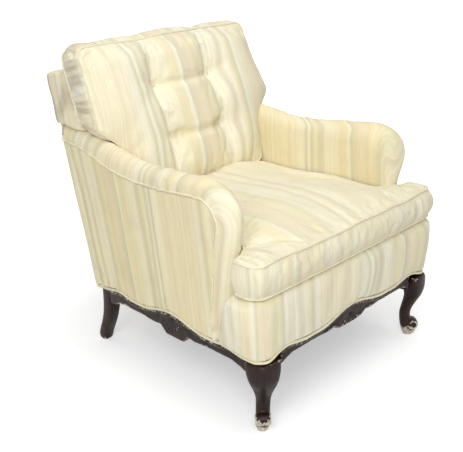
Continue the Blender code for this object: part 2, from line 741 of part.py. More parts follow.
def arm_top(y):
    """The height of the arm's crest near the back."""
    rear, ahead = ARM_PROFILE[0], ARM_PROFILE[1]
    share = ((y - RAIL_FRONT_Y) / ARM_LENGTH - ahead[0]) / (rear[0] - ahead[0])
    return ahead[1] + (rear[1] - ahead[1]) * share


def arm_foot(y):
    """The height at which the arm's outer side ends above the show wood."""
    return SIDE_APRON.top_z(side_u(y)) + BASE_WELT_SPACE


def arms():
    """The padded arms, hollow inside and open to the panel that closes each outer side."""
    def middle(y, z):
        return (arm_inner(y) + arm_outer(y, z)) / 2

    loops = []
    for degrees in (0, 30, 60, 90):
        turn = math.radians(degrees)

        def across(y, z, turn=turn):
            return arm_inner(y) + (middle(y, z) - arm_inner(y)) * (1 - math.cos(turn))

        loops.append(arm_ring(arm_rim(1 - math.sin(turn)), across, ARM_FOOT_Z))

    share = 0.40
    turn = math.asin(share)

    def rebate(y, z):
        outwards = middle(y, z) + share * (arm_outer(y, z) - middle(y, z))
        return max(rail_half_width(y) - REBATE + 2 * GAP, outwards)

    loops.append(arm_ring(arm_rim(1 - math.cos(turn)), rebate, ARM_FOOT_Z))
    for degrees in (None, 50, 70, 90):
        if degrees is None:
            rim, side = arm_rim(1 - math.cos(turn)), rebate
        else:
            angle = math.radians(degrees)
            rim = arm_rim(1 - math.cos(angle))

            def side(y, z, angle=angle):
                return middle(y, z) + (arm_outer(y, z) - middle(y, z)) * math.sin(angle)

        foot = arm_foot(rim[-1].x)
        loops.append(arm_ring(rim, side, foot))
    arm = loft(loops, "arm_pad", "striped_cover")

    def far_out(y, z):
        return arm_outer(y, z) + 0.05

    def hollow_floor(y, z):
        return arm_inner(y) + ARM_WALL

    hollow = arm_rim(1.0, 0.012)
    low, rear = 0.15, BACK_TOP_Y + 0.10
    hollow[0] = past_the_rear(hollow, rear)
    cutter = [arm_ring(hollow, side, low, rear) for side in (hollow_floor, far_out)]
    boolean(arm, loft(cutter, "arm_hollow", "striped_cover"))

    def panel_floor(y, z):
        return arm_outer(y, z) - PANEL_THICK - GAP

    recess = arm_rim(1.0, ARM_LIP)
    recess[0] = past_the_rear(recess, rear)
    cutter = [arm_ring(recess, side, low, rear) for side in (panel_floor, far_out)]
    boolean(arm, loft(cutter, "arm_recess", "striped_cover"))

    post_front = back_face(0.0) - PANEL_THICK - POST_DEPTH - 0.003
    high = (POST_OUTER_X + 0.0045, post_front + 0.30, 0.70)
    boolean(arm, box("arm_notch", "striped_cover", (0.10, post_front, 0.0), high, BACK_RAKE))
    both_sides(arm, "arm_pad")


def arm_panels():
    """The thin outside arm panels and the welts round their edges."""
    rim = arm_rim(1.0, ARM_LIP + GAP)
    loops = []
    for depth in (PANEL_THICK, 0.001, 0.0):
        inset = 0.004 if depth == 0.0 else 0.0
        ring = []
        for p in arm_rim(1.0, ARM_LIP + GAP + inset):
            foot = arm_foot(p.x)
            ring.append(Vector((p.x, max(p.y, foot))))
        rear_z = arm_foot(rim[0].x)
        rear = back_face(rear_z) - PANEL_THICK - 2 * GAP
        foot_y = ring[-1].x
        ring[-1].y = arm_foot(foot_y)
        inner_line = [y for y in side_stations() if foot_y + 0.004 < y < rear - 0.004]
        ring += [Vector((y, arm_foot(y))) for y in inner_line + [rear]]
        loops.append([(arm_outer(p.x, p.y) - depth, p.x, p.y) for p in ring])
    both_sides(loft(loops, "outside_arm", "striped_cover"), "outside_arm")

    points = []
    for p in arm_rim(1.0, 0.0):
        if p.y > arm_foot(p.x) + 0.006:
            points.append((arm_outer(p.x, p.y) + WELT_RADIUS + 2 * GAP, p.x, p.y))
    both_sides_of_tube(points, WELT_RADIUS, "arm_welt")

    points = []
    start, end = RAIL_FRONT_Y + WING_REACH * 2, back_face(LEDGE_Z) - 0.012
    for y in [start] + [y for y in side_stations() if start + 0.004 < y < end - 0.004] + [end]:
        points.append((rail_half_width(y) + BEAD / 2, y, arm_foot(y) - BASE_WELT_SPACE / 2))
    both_sides_of_tube(points, BASE_WELT_RADIUS, "side_base_welt")


def both_sides_of_tube(points, radius, stem):
    """A cord on the +X side and its mirror image."""
    tube(f"{stem}_left", points, radius, "striped_cover")
    tube(f"{stem}_right", [(-x, y, z) for x, y, z in points], radius, "striped_cover")


def arm_frames():
    """The wooden post and rail inside each arm."""
    post_y = RAIL_FRONT_Y + ARM_LENGTH * ARM_POST_SHARE
    inner_x = arm_inner(post_y) + ARM_WALL + GAP
    outer_x = rail_half_width(post_y) - REBATE - 0.004
    foot = RAIL_TOP_Z + GAP
    rail_z = 0.505
    post = box("arm_post", "frame_wood", (inner_x, post_y, foot),
               (outer_x, post_y + 0.045, rail_z - GAP))
    both_sides(post, "arm_post")
    rear = back_face(rail_z) - PANEL_THICK - 0.004
    before_post = back_face(rail_z) - PANEL_THICK - POST_DEPTH
    loops = []
    for z in (rail_z, rail_z + 0.022):
        loops.append([
            (inner_x, post_y, z), (outer_x, post_y, z),
            (rail_half_width(rear) - 0.004, rear, z), (POST_OUTER_X + GAP, rear, z),
            (arm_inner(before_post) + ARM_WALL + 2 * GAP, before_post, z)])
    both_sides(loft(loops, "arm_rail", "frame_wood", False), "arm_rail")


def upholstered_back():
    """The padded back, hollow behind for its frame, and the outside panel that closes it."""
    half_low, half_high = ARM_INNER_REAR - 0.004, REAR_HALF_WIDTH
    low_z, arm_z = DECK_TOP_Z - 0.018, 0.642

    def slab(name, half, bottom, top, rear_of, round_top):
        loops = []
        levels = [bottom + (top - bottom) * k / 3 for k in range(4)]
        if round_top:
            levels += [top + BACK_EDGE * 0.6, top + BACK_EDGE]
        for k, z in enumerate(levels):
            shrink = (0, 0, 0, 0, 0.005, 0.014)[k] if round_top else 0.0
            front, rear = inside_back_face(z) + shrink, rear_of(z) - shrink * 0.6
            edge, soft = half - shrink, 0.014
            right = (
                (half * 0.5, front), (edge - soft, front), (edge - soft * 0.3, front + soft * 0.3),
                (edge, front + soft), (edge, rear),
            )
            plan = [(-x, y) for x, y in reversed(right)] + list(right)
            over_arm = round_top and k == 0
            loops.append([(x, y, arm_top(y) + 2 * GAP if over_arm else z) for x, y in plan])
        return loft(loops, name, "striped_cover")

    def post_front(z):
        return back_face(z) - PANEL_THICK - POST_DEPTH - 2 * GAP

    def past_the_posts(z):
        return post_front(z) + 0.010

    pad = slab("inside_back", half_low, low_z, arm_z + 0.058, past_the_posts, False)
    upper = slab("back_upper", half_high, arm_z, BACK_TOP_Z - BACK_EDGE, back_face, True)
    boolean(pad, upper, "UNION")
    foot = 0.10
    low = (-POST_OUTER_X - GAP, post_front(foot), foot)
    high = (POST_OUTER_X + GAP, post_front(foot) + 0.30, BACK_TOP_Z - 0.020 + GAP)
    boolean(pad, box("back_hollow", "striped_cover", low, high, BACK_RAKE))
    recess_y = back_face(foot) - PANEL_THICK - GAP
    edge = half_high - 0.006
    low = (-edge - GAP, recess_y, foot)
    high = (edge + GAP, recess_y + 0.30, BACK_TOP_Z - 0.012)
    boolean(pad, box("back_recess", "striped_cover", low, high, BACK_RAKE))

    loops = []
    foot_z = LEDGE_Z + 0.004
    for depth, inset in ((PANEL_THICK, 0.0), (0.002, 0.0), (0.0, 0.003)):
        top = BACK_TOP_Z - 0.012 - GAP - inset
        side = edge - inset
        ring = []
        for share in (0, 0.25, 0.5, 0.75, 1):
            z = foot_z + (top - foot_z) * share
            ring.append((side, back_face(z) - depth, z))
        for share in (1, 0.75, 0.5, 0.25, 0):
            z = foot_z + (top - foot_z) * share
            ring.append((-side, back_face(z) - depth, z))
        loops.append(ring)
    loft(loops, "outside_back", "striped_cover")
    welt_z = foot_z - BASE_WELT_RADIUS - GAP
    welt_y = back_face(foot_z) - BASE_WELT_RADIUS
    points = [(-edge + 2 * edge * k / 8, welt_y, welt_z) for k in range(9)]
    tube("rear_base_welt", points, BASE_WELT_RADIUS, "striped_cover")


def deck():
    """The thin padding over the springs, under the seat cushion."""
    soft = 0.012
    loops = []
    for z, inset in (
        (DECK_TOP_Z - DECK_THICK, 0.0), (DECK_TOP_Z - 0.006, 0.0), (DECK_TOP_Z - 0.002, 0.004), (DECK_TOP_Z, soft)):
        x, front, rear = DECK_HALF_WIDTH - inset, DECK_FRONT_Y + inset, DECK_REAR_Y - inset
        loops.append([(-x, front, z), (x, front, z), (x, rear, z), (-x, rear, z)])
    loft(loops, "deck_pad", "striped_cover")


def rounded(x, y, corner, radius):
    """Pulls a grid point beyond a rounded corner back onto its arc. Only the corner's own quadrant moves."""
    sign = math.copysign(1, x)
    centre = Vector((sign * (corner[0] - radius), corner[1] + radius))
    spot = Vector((x, y))
    away = spot - centre
    if away.x * sign <= 1e-9 or away.y >= -1e-9:
        return spot
    scale = max(abs(away.x), abs(away.y)) / away.length
    return centre + away * scale


def seat_cushion():
    """The loose T-shaped seat cushion with its crown, and a welt round each of its edges."""
    radius = 0.040
    body = ARM_INNER_FRONT - GAP - LOWER_WELT_OUT - WELT_RADIUS
    front, rear = CUSHION_FRONT_Y, SEAT_REAR_Y
    notch_y = front + EAR_DEPTH
    bottom_z = DECK_TOP_Z + GAP
    top_z = bottom_z + SEAT_BOXING
    inner = [body * k / 5 for k in range(6)]
    outer = [body + 0.012, EAR_HALF_WIDTH - radius, EAR_HALF_WIDTH - 0.021, EAR_HALF_WIDTH - 0.006]
    half = inner + outer + [EAR_HALF_WIDTH]
    columns = [-x for x in reversed(half[1:])] + half
    rows = [front, front + 0.006, front + 0.021, front + radius, notch_y - 0.006, notch_y]
    rows += [notch_y + (rear - 0.006 - notch_y) * k / 8 for k in range(1, 9)] + [rear]

    def inside(x, y):
        return abs(x) < body or y < notch_y

    def shape(x, y):
        spot = rounded(x, y, (EAR_HALF_WIDTH, front), radius)
        if y > notch_y:
            narrow = (ARM_INNER_FRONT - arm_inner(y)) * abs(x) / body
            spot.x -= math.copysign(narrow, x)
        return spot

    def place(x, y, side):
        spot = shape(x, y)
        beside = body - abs(x)
        before = max(0.0, notch_y - y)
        if beside >= 0:
            to_side = math.hypot(beside, before)
        else:
            to_side = min(before, EAR_HALF_WIDTH - abs(x))
        swell = math.sin(math.pi / 2 * min(1.0, max(0.0, to_side) / SEAT_CROWN_REACH)) ** 0.8
        swell *= math.sin(math.pi / 2 * min(1.0, (y - front) / 0.20)) ** 0.8
        swell *= math.sin(math.pi / 2 * min(1.0, (rear - y) / 0.08)) ** 0.8
        sag = 0.007 * bump((y - 0.02) / 0.16) * bump(x / 0.16)
        height = top_z + SEAT_CROWN * swell - sag * swell if side else bottom_z
        return (spot.x, spot.y, height)

    outline = cushion_outline(columns, rows, inside, shape)
    swollen = []
    for spot in outline:
        at_front = bump((spot.y - front) / 0.05)
        at_ear = max(0.0, abs(spot.x) - body) / (EAR_HALF_WIDTH - body)
        out_x = math.copysign(EAR_BULGE * at_ear, spot.x)
        swollen.append(Vector((spot.x + out_x, spot.y - CUSHION_BULGE * at_front)))
    nearly = [spot.lerp(full, 0.8) for spot, full in zip(outline, swollen)]
    rings = (
        (bottom_z + LOWER_CHAMFER, outline),
        (bottom_z + SEAT_BOXING * 0.3, nearly),
        (bottom_z + SEAT_BOXING * 0.5, swollen),
        (bottom_z + SEAT_BOXING * 0.7, nearly),
        (top_z - WELT_CHAMFER, outline),
    )
    boxed_solid(columns, rows, inside, place, outline, rings, "seat_cushion")
    lower = offset_outline(outline, LOWER_WELT_OUT)
    for name, line, z in (("seat_welt_lower", lower, bottom_z + WELT_RADIUS), ("seat_welt_upper", outline, top_z)):
        points = [(p.x, p.y, z) for p in line]
        tube(name, points, WELT_RADIUS, "striped_cover", cyclic=True)


def boundary(columns, rows, inside):
    """The grid corners round the edge of the kept cells, in order."""
    counts = {}
    for i in range(len(columns) - 1):
        for j in range(len(rows) - 1):
            if not inside((columns[i] + columns[i + 1]) / 2, (rows[j] + rows[j + 1]) / 2):
                continue
            corners = ((i, j), (i + 1, j), (i + 1, j + 1), (i, j + 1))
            for a, b in zip(corners, corners[1:] + corners[:1]):
                counts.setdefault(frozenset((a, b)), []).append((a, b))
    edge = dict(found[0] for found in counts.values() if len(found) == 1)
    order = [min(edge)]
    while edge[order[-1]] != order[0]:
        order.append(edge[order[-1]])
    return order


def cushion_outline(columns, rows, inside, shape):
    """The cushion's own outline in plan, through the rounded grid points."""
    return [shape(columns[i], rows[j]) for i, j in boundary(columns, rows, inside)]


def offset_outline(outline, distance):
    """The outline moved outwards by a distance, with its corners kept square."""
    moved = []
    count = len(outline)
    for k, spot in enumerate(outline):
        before = (spot - outline[k - 1]).normalized()
        after = (outline[(k + 1) % count] - spot).normalized()
        first, second = Vector((before.y, -before.x)), Vector((after.y, -after.x))
        moved.append(spot + (first + second) * distance / (1 + first.dot(second)))
    return moved


def boxed_solid(columns, rows, inside, place, outline, rings, name, turn=None):
    """A boxed cushion: a top and a bottom on the grid, joined by rings (height, outline) round it.

    place(x, y, side) gives the height of a grid point on the bottom (0) or top (1) with its plan position.
    """
    bm = bmesh.new()
    turn = turn or (lambda spot: spot)
    order = boundary(columns, rows, inside)
    hem = dict(zip(order, offset_outline(outline, -WELT_CHAMFER)))
    faces_of = ({}, {})
    for side in (0, 1):
        for i in range(len(columns) - 1):
            for j in range(len(rows) - 1):
                if not inside((columns[i] + columns[i + 1]) / 2, (rows[j] + rows[j + 1]) / 2):
                    continue
                corners = ((i, j), (i + 1, j), (i + 1, j + 1), (i, j + 1))
                for corner in corners:
                    if corner not in faces_of[side]:
                        x, y, height = place(columns[corner[0]], rows[corner[1]], side)
                        if corner in hem:
                            x, y = hem[corner]
                        faces_of[side][corner] = bm.verts.new(turn((x, y, height)))
                verts = [faces_of[side][corner] for corner in corners]
                bm.faces.new(verts if side else list(reversed(verts)))
    levels = [[faces_of[0][corner] for corner in order]]
    count = len(order)
    for height, line in rings:
        levels.append([bm.verts.new(turn((spot.x, spot.y, height))) for spot in line])
    levels.append([faces_of[1][corner] for corner in order])
    for lower, upper in zip(levels, levels[1:]):
        for k in range(count):
            n = (k + 1) % count
            bm.faces.new((lower[k], lower[n], upper[n], upper[k]))
    return finish(bm, name, "striped_cover")


def back_cushion():
    """The loose tufted back cushion, leaning on the padded back, with its welts and tuft buttons."""
    up = Vector((0, math.sin(BACK_LEAN), math.cos(BACK_LEAN)))
    forward = Vector((0, -math.cos(BACK_LEAN), math.sin(BACK_LEAN)))
    foot = Vector((0, *BACK_CUSHION_TOP)) - up * BACK_CUSHION_HEIGHT

    def turn(spot):
        return foot + Vector((spot[0], 0, 0)) + up * spot[1] + forward * spot[2]

    height, thick = BACK_CUSHION_HEIGHT, BACK_CUSHION_THICK
    radius = 0.030
    half = BACK_CUSHION_HALF_WIDTH
    right = [0.0, 0.030, 0.062, TUFT_X, 0.130, 0.155, 0.182, 0.215, half - radius,
             half - 0.012, half]
    columns = [-x for x in reversed(right[1:])] + right
    rows = [0.0, 0.012, 0.045, 0.080, TUFT_HEIGHTS[0], 0.150, 0.185, 0.220, TUFT_HEIGHTS[1],
            0.300, 0.335, height - radius, height - 0.012, height]

    def narrow(y):
        rise = min(1.0, max(0.0, (y - BACK_CUSHION_NECK) / 0.056))
        share = rise * rise * (3 - 2 * rise)
        return (BACK_CUSHION_HALF_FOOT + (half - BACK_CUSHION_HALF_FOOT) * share) / half

    def shape(x, y):
        flipped = rounded(x, height - y, (half, 0.0), radius)
        spot = Vector((flipped.x, height - flipped.y))
        lower = rounded(spot.x, spot.y, (half, 0.0), radius)
        return Vector((lower.x * narrow(spot.y), lower.y))

    def place(x, y, side):
        spot = shape(x, y)
        to_side = half - abs(x)
        to_end = min(y, height - y)
        if not side:
            return (spot.x, spot.y, 0.0)
        swell = math.sin(math.pi / 2 * min(1.0, to_side / 0.11)) ** 0.8
        swell *= math.sin(math.pi / 2 * min(1.0, to_end / 0.10)) ** 0.8
        slump = 1.0 + 0.35 * (1 - y / height)
        pull = 0.0
        for tuft_y in TUFT_HEIGHTS:
            away = math.hypot(abs(x) - TUFT_X, y - tuft_y)
            pull = max(pull, math.exp(-away / 0.030))
        return (spot.x, spot.y, thick + BACK_CUSHION_CROWN * swell * slump - TUFT_DEPTH * pull)

    def always(x, y):
        return True

    outline = cushion_outline(columns, rows, always, shape)
    rings = (
        (LOWER_CHAMFER, outline),
        (thick * 0.5, offset_outline(outline, BACK_BULGE)),
        (thick - WELT_CHAMFER, outline),
    )
    boxed_solid(columns, rows, always, place, outline, rings, "back_cushion", turn)
    rear = offset_outline(outline, LOWER_WELT_OUT)
    for name, line, level in (("back_welt_rear", rear, WELT_RADIUS), ("back_welt_front", outline, thick)):
        points = [turn((p.x, p.y, level)) for p in line]
        tube(name, points, WELT_RADIUS, "striped_cover", cyclic=True)

    number = 0
    for tuft_y, button_seat in zip(TUFT_HEIGHTS, BUTTON_SEATS):
        for side in (-1, 1):
            number += 1
            seat = place(side * TUFT_X, tuft_y, 1)
            loops = []
            for radius_share, rise in ((0.5, 0.0), (1.0, 0.0015), (1.0, 0.003), (0.55, 0.005)):
                ring = []
                for k in range(8):
                    angle = 2 * math.pi * k / 8
                    ring.append(turn((
                        seat[0] + BUTTON_RADIUS * radius_share * math.cos(angle),
                        seat[1] + BUTTON_RADIUS * radius_share * math.sin(angle),
                        seat[2] + button_seat + rise)))
                loops.append(ring)
            loft(loops, f"tuft_button_{number}", "striped_cover")


def main():
    """Clears the scene and builds the chair."""
    for old in list(bpy.data.objects):
        bpy.data.objects.remove(old)
    seat_rails()
    front_legs()
    rear_legs()
    corner_blocks()
    back_frame()
    arm_frames()
    suspension()
    deck()
    front_border()
    arms()
    arm_panels()
    upholstered_back()
    seat_cushion()
    back_cushion()


main()
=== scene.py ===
"""The looks of a sagging old armchair: striped woven covers, soft cushions and a chipped carved base.

Everything is in metres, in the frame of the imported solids: the chair stands on z = 0 and faces -Y.
"""

from __future__ import annotations

import logging
import math
from collections.abc import Callable, Sequence
from dataclasses import dataclass, field
from enum import Enum
from functools import cache

import bmesh
import bpy
import numpy as np
from mathutils import Matrix, Vector
from mathutils.bvhtree import BVHTree
from mathutils.kdtree import KDTree


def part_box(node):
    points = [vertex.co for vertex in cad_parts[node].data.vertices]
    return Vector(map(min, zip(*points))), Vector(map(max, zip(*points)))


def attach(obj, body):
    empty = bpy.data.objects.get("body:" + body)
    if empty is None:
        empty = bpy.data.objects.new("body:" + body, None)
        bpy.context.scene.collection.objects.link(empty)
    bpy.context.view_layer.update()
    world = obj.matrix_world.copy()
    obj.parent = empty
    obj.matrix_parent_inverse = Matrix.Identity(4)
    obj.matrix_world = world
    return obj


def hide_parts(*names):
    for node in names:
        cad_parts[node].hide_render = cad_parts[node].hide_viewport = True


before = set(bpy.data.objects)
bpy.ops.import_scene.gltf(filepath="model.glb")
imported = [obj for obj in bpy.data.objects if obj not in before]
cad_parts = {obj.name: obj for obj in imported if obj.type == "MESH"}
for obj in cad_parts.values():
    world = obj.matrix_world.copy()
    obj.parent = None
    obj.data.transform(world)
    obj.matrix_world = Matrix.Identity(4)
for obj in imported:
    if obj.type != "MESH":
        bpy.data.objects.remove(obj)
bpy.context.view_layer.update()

log = logging.getLogger("armchair")

Layout = Callable[[np.ndarray, np.ndarray], np.ndarray]
Line = Sequence[tuple[float, float, float]]
Colour = tuple[float, float, float]
Socket = bpy.types.NodeSocket

MERGE_DISTANCE = 1e-5
ARM_PADS = ("arm_pad_left", "arm_pad_right")
CUSHION_WALL_CREASE = 35


class Side(Enum):
    """The two sides of the chair, as the sign of x."""

    LEFT = 1
    RIGHT = -1

    @property
    def word(self) -> str:
        """The side's word in a node name."""
        return self.name.lower()


class Slot(Enum):
    """The record's material slots."""

    COVER = "striped_cover"
    SHOW_WOOD = "show_wood"
    FRAME_WOOD = "frame_wood"
    STEEL = "spring_steel"
    JUTE = "jute"
    CAMBRIC = "black_cambric"


class Thread(Enum):
    """The dyed threads of the cover, as linear colours."""

    WHITE = (0.92, 0.89, 0.74)
    IVORY = (0.88, 0.83, 0.63)
    CREAM = (0.87, 0.79, 0.57)
    BUTTER = (0.86, 0.78, 0.52)
    PEACH = (0.83, 0.73, 0.53)
    BEIGE = (0.75, 0.67, 0.49)
    SAGE = (0.69, 0.66, 0.465)
    STONE = (0.68, 0.60, 0.44)


# ---------------------------------------------------------------- shared mesh work


def packed_mesh(node: str) -> bmesh.types.BMesh:
    """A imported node's mesh for editing; whoever asks for it frees it."""
    bm = bmesh.new()
    bm.from_mesh(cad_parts[node].data)
    return bm


def merged_mesh(node: str) -> bmesh.types.BMesh:
    """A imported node's mesh for editing, with its loose triangles joined at their corners."""
    bm = packed_mesh(node)
    bmesh.ops.remove_doubles(bm, verts=bm.verts, dist=MERGE_DISTANCE)
    return bm


def packed_surface(node: str) -> BVHTree:
    """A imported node's faces, to find the nearest place on them."""
    bm = packed_mesh(node)
    tree = BVHTree.FromBMesh(bm)
    bm.free()
    return tree


def new_piece(name: str, bm: bmesh.types.BMesh) -> bpy.types.Object:
    """Puts an edited mesh into the scene as an object at the origin, and frees it."""
    mesh = bpy.data.meshes.new(name)
    bm.to_mesh(mesh)
    bm.free()
    piece = bpy.data.objects.new(name, mesh)
    bpy.context.scene.collection.objects.link(piece)
    return piece


def cad_copy(node: str, name: str, crease_above: float = 0.0) -> bpy.types.Object:
    """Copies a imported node's mesh, merged and turned back into quads.

    Args:
        node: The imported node's name.
        name: The new piece's name.
        crease_above: Edges sharper than this many degrees stay sharp under subdivision; 0 keeps none.

    Returns:
        The new object, at the origin.
    """
    bm = merged_mesh(node)
    bmesh.ops.join_triangles(
        bm, faces=bm.faces, angle_face_threshold=math.radians(30), angle_shape_threshold=math.radians(50)
    )
    if crease_above:
        sharp = bm.edges.layers.float.new("crease_edge")
        for edge in bm.edges:
            edge[sharp] = float(edge.calc_face_angle(0.0) > math.radians(crease_above))
    return new_piece(name, bm)


def set_modifiers(piece: bpy.types.Object) -> None:
    """Turns the piece's modifiers into mesh, smooth shaded.

    Args:
        piece: The object, whose modifiers are removed.
    """
    bpy.context.view_layer.update()
    graph = bpy.context.evaluated_depsgraph_get()
    baked = bpy.data.meshes.new_from_object(piece.evaluated_get(graph), depsgraph=graph)
    piece.modifiers.clear()
    piece.data = baked
    baked.name = piece.name
    baked.shade_smooth()


def subdivided(piece: bpy.types.Object, levels: int) -> bpy.types.Object:
    """Rounds the piece by subdivision.

    Args:
        piece: The object.
        levels: How often each face is split.

    Returns:
        The same object.
    """
    modifier = piece.modifiers.new("Round", "SUBSURF")
    modifier.levels = modifier.render_levels = levels
    set_modifiers(piece)
    return piece


def remeshed(piece: bpy.types.Object, voxel: float, smoothing: int) -> bpy.types.Object:
    """Gives the piece an even mesh, fine enough to crease.

    Args:
        piece: The object.
        voxel: The new mesh's edge length.
        smoothing: Rounds of smoothing after it.

    Returns:
        The same object.
    """
    grid = piece.modifiers.new("Even", "REMESH")
    grid.mode = "VOXEL"
    grid.voxel_size = voxel
    if smoothing:
        soft = piece.modifiers.new("Soft", "SMOOTH")
        soft.factor = 0.5
        soft.iterations = smoothing
    set_modifiers(piece)
    return piece


def vectors_of(items: bpy.types.bpy_prop_collection, name: str) -> np.ndarray:
    """One vector of every item in a mesh's collection, as rows of x, y, z."""
    flat = np.empty(len(items) * 3, np.float32)
    items.foreach_get(name, flat)
    return flat.reshape(-1, 3)


def points_of(piece: bpy.types.Object) -> np.ndarray:
    """The piece's vertices, as rows of x, y, z."""
    return vectors_of(piece.data.vertices, "co").astype(np.float64)


def normals_of(piece: bpy.types.Object) -> np.ndarray:
    """The piece's vertex normals, as rows of x, y, z."""
    return vectors_of(piece.data.vertex_normals, "vector").astype(np.float64)


def place_points(piece: bpy.types.Object, points: np.ndarray) -> None:
    """Moves the piece's vertices to the given rows of x, y, z."""
    piece.data.vertices.foreach_set("co", points.astype(np.float32).ravel())
    piece.data.update()


def distance_to(points: np.ndarray, nodes: Sequence[str], reach: float) -> np.ndarray:
    """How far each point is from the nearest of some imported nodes.

    Args:
        points: Rows of x, y, z.
        nodes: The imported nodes' names.
        reach: The farthest distance that matters.

    Returns:
        A distance for each row, at most reach.
    """
    near = np.full(len(points), reach)
    for node in nodes:
        tree = packed_surface(node)
        for row, point in enumerate(points):
            found = tree.find_nearest(Vector(point), near[row])
            if found[3] is not None:
                near[row] = min(near[row], found[3])
    return near


def kept_clear(points: np.ndarray, nodes: Sequence[str], gap: float) -> np.ndarray:
    """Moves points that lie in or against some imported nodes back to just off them.

    Args:
        points: Rows of x, y, z.
        nodes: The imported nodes' names.
        gap: How far off their surface the points stay.

    Returns:
        The rows, moved.
    """
    deepest = 0.06
    moved = points.copy()
    for node in nodes:
        low, high = (np.asarray(corner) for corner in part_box(node))
        tree = packed_surface(node)
        for row in np.flatnonzero(((moved > low - gap) & (moved < high + gap)).all(axis=1)):
            place = Vector(moved[row])
            spot, normal, _, away = tree.find_nearest(place, deepest)
            if spot is not None and ((place - spot).dot(normal) < 0 or away < gap):
                moved[row] = spot + normal * gap
    return moved


def arm_face(y: np.ndarray) -> np.ndarray:
    """The distance of the arms' inner faces from the middle of the chair, at each y."""
    front_x, narrower, front_y, length = 0.265, 0.0285, -0.3795, 0.665
    return front_x - narrower * (y - front_y) / length


def step(values: np.ndarray, low: float, high: float) -> np.ndarray:
    """A smooth rise from 0 at low to 1 at high."""
    share = np.clip((values - low) / (high - low), 0.0, 1.0)
    return share * share * (3 - 2 * share)


def ripple(
    points: np.ndarray, wavelength: float, seed: int, stretch: Sequence[float] = (1, 1, 1)
) -> np.ndarray:
    """Irregular waves over space, about -1 to 1.

    Args:
        points: Rows of x, y, z.
        wavelength: The typical distance between crests.
        seed: Which waves.
        stretch: How much each axis counts.

    Returns:
        A height for each row.
    """
    rng = np.random.default_rng(seed)
    scaled = points * np.asarray(stretch)
    total = np.zeros(len(points))
    for _ in range(7):
        direction = rng.normal(size=3)
        direction /= np.linalg.norm(direction)
        turns = 2 * math.pi / (wavelength * rng.uniform(0.65, 1.5))
        total += np.sin(scaled @ direction * turns + rng.uniform(0, 2 * math.pi))
    return total / 3.0


def fold(points: np.ndarray, line: Line, width: float, fade: float = 0.25) -> np.ndarray:
    """How much each point lies in a fold along a line.

    Args:
        points: Rows of x, y, z.
        line: The places the fold runs through.
        width: Half the fold's width.
        fade: The share of the line over which each end fades.

    Returns:
        1 on the line and 0 well away from it, for each row.
    """
    knots = np.asarray(line, float)
    lengths = np.linalg.norm(np.diff(knots, axis=0), axis=1)
    total = lengths.sum()
    best = np.zeros(len(points))
    gone = 0.0
    for start, end, length in zip(knots, knots[1:], lengths):
        run = end - start
        share = np.clip((points - start) @ run / (length * length), 0.0, 1.0)
        away = np.linalg.norm(points - (start + share[:, None] * run), axis=1)
        along = (gone + share * length) / total
        ends = step(along, -0.02, fade) * step(1 - along, -0.02, fade)
        best = np.maximum(best, np.exp(-((away / width) ** 2)) * (0.15 + 0.85 * ends))
        gone += length
    return best


def puffed(
    piece: bpy.types.Object, held: np.ndarray, pressure: float, slack: float, cap: float, frames: int = 20
) -> None:
    """Fills the piece like a cushion with the cloth simulation, and keeps the result as its mesh.

    Args:
        piece: The object, with an even mesh.
        held: For each vertex, 1 where the cover is sewn down and 0 where it is free.
        pressure: The filling's push.
        slack: The share by which the cloth is longer than the mesh.
        cap: The farthest that a vertex may move.
        frames: How long the simulation runs.
    """
    before = points_of(piece)
    group = piece.vertex_groups.new(name="sewn")
    for level in (1.0, 0.6, 0.3):
        rows = np.flatnonzero(np.abs(held - level) < 0.16).tolist()
        group.add(rows, level, "REPLACE")
    cloth = piece.modifiers.new("Cloth", "CLOTH")
    settings = cloth.settings
    settings.quality = 5
    settings.mass = 0.25
    settings.tension_stiffness = settings.compression_stiffness = 18
    settings.shear_stiffness = 8
    settings.bending_stiffness = 0.6
    settings.use_pressure = True
    settings.uniform_pressure_force = pressure
    settings.effector_weights.gravity = 0
    settings.shrink_min = -slack
    settings.vertex_group_mass = group.name
    cloth.point_cache.frame_start = 1
    cloth.point_cache.frame_end = frames
    scene = bpy.context.scene
    scene.frame_start, scene.frame_end = 1, frames
    for number in range(1, frames + 1):
        scene.frame_set(number)
    graph = bpy.context.evaluated_depsgraph_get()
    solved = bpy.data.meshes.new_from_object(piece.evaluated_get(graph), depsgraph=graph)
    after = vectors_of(solved.vertices, "co")
    bpy.data.meshes.remove(solved)
    piece.modifiers.clear()
    piece.vertex_groups.clear()
    scene.frame_set(1)
    move = after - before
    length = np.linalg.norm(move, axis=1, keepdims=True)
    limited = cap * np.tanh(length / cap)
    place_points(piece, before + move * limited / np.maximum(length, 1e-9))


def smooth(bm: bmesh.types.BMesh, verts: Sequence[bmesh.types.BMVert], rounds: int) -> None:
    """Smooths some vertices of a mesh along all three axes, so many times over."""
    for _ in range(rounds):
        bmesh.ops.smooth_vert(
            bm, verts=verts, factor=0.5, use_axis_x=True, use_axis_y=True, use_axis_z=True
        )


def eased(piece: bpy.types.Object, chosen: np.ndarray, rounds: int) -> None:
    """Smooths some of the piece's vertices, as a hand does that pulls a cover flat.

    Args:
        piece: The object, with an even mesh.
        chosen: Whether each vertex is smoothed.
        rounds: How often.
    """
    bm = bmesh.new()
    bm.from_mesh(piece.data)
    bm.verts.ensure_lookup_table()
    smooth(bm, [bm.verts[number] for number in np.flatnonzero(chosen)], rounds)
    bm.to_mesh(piece.data)
    bm.free()


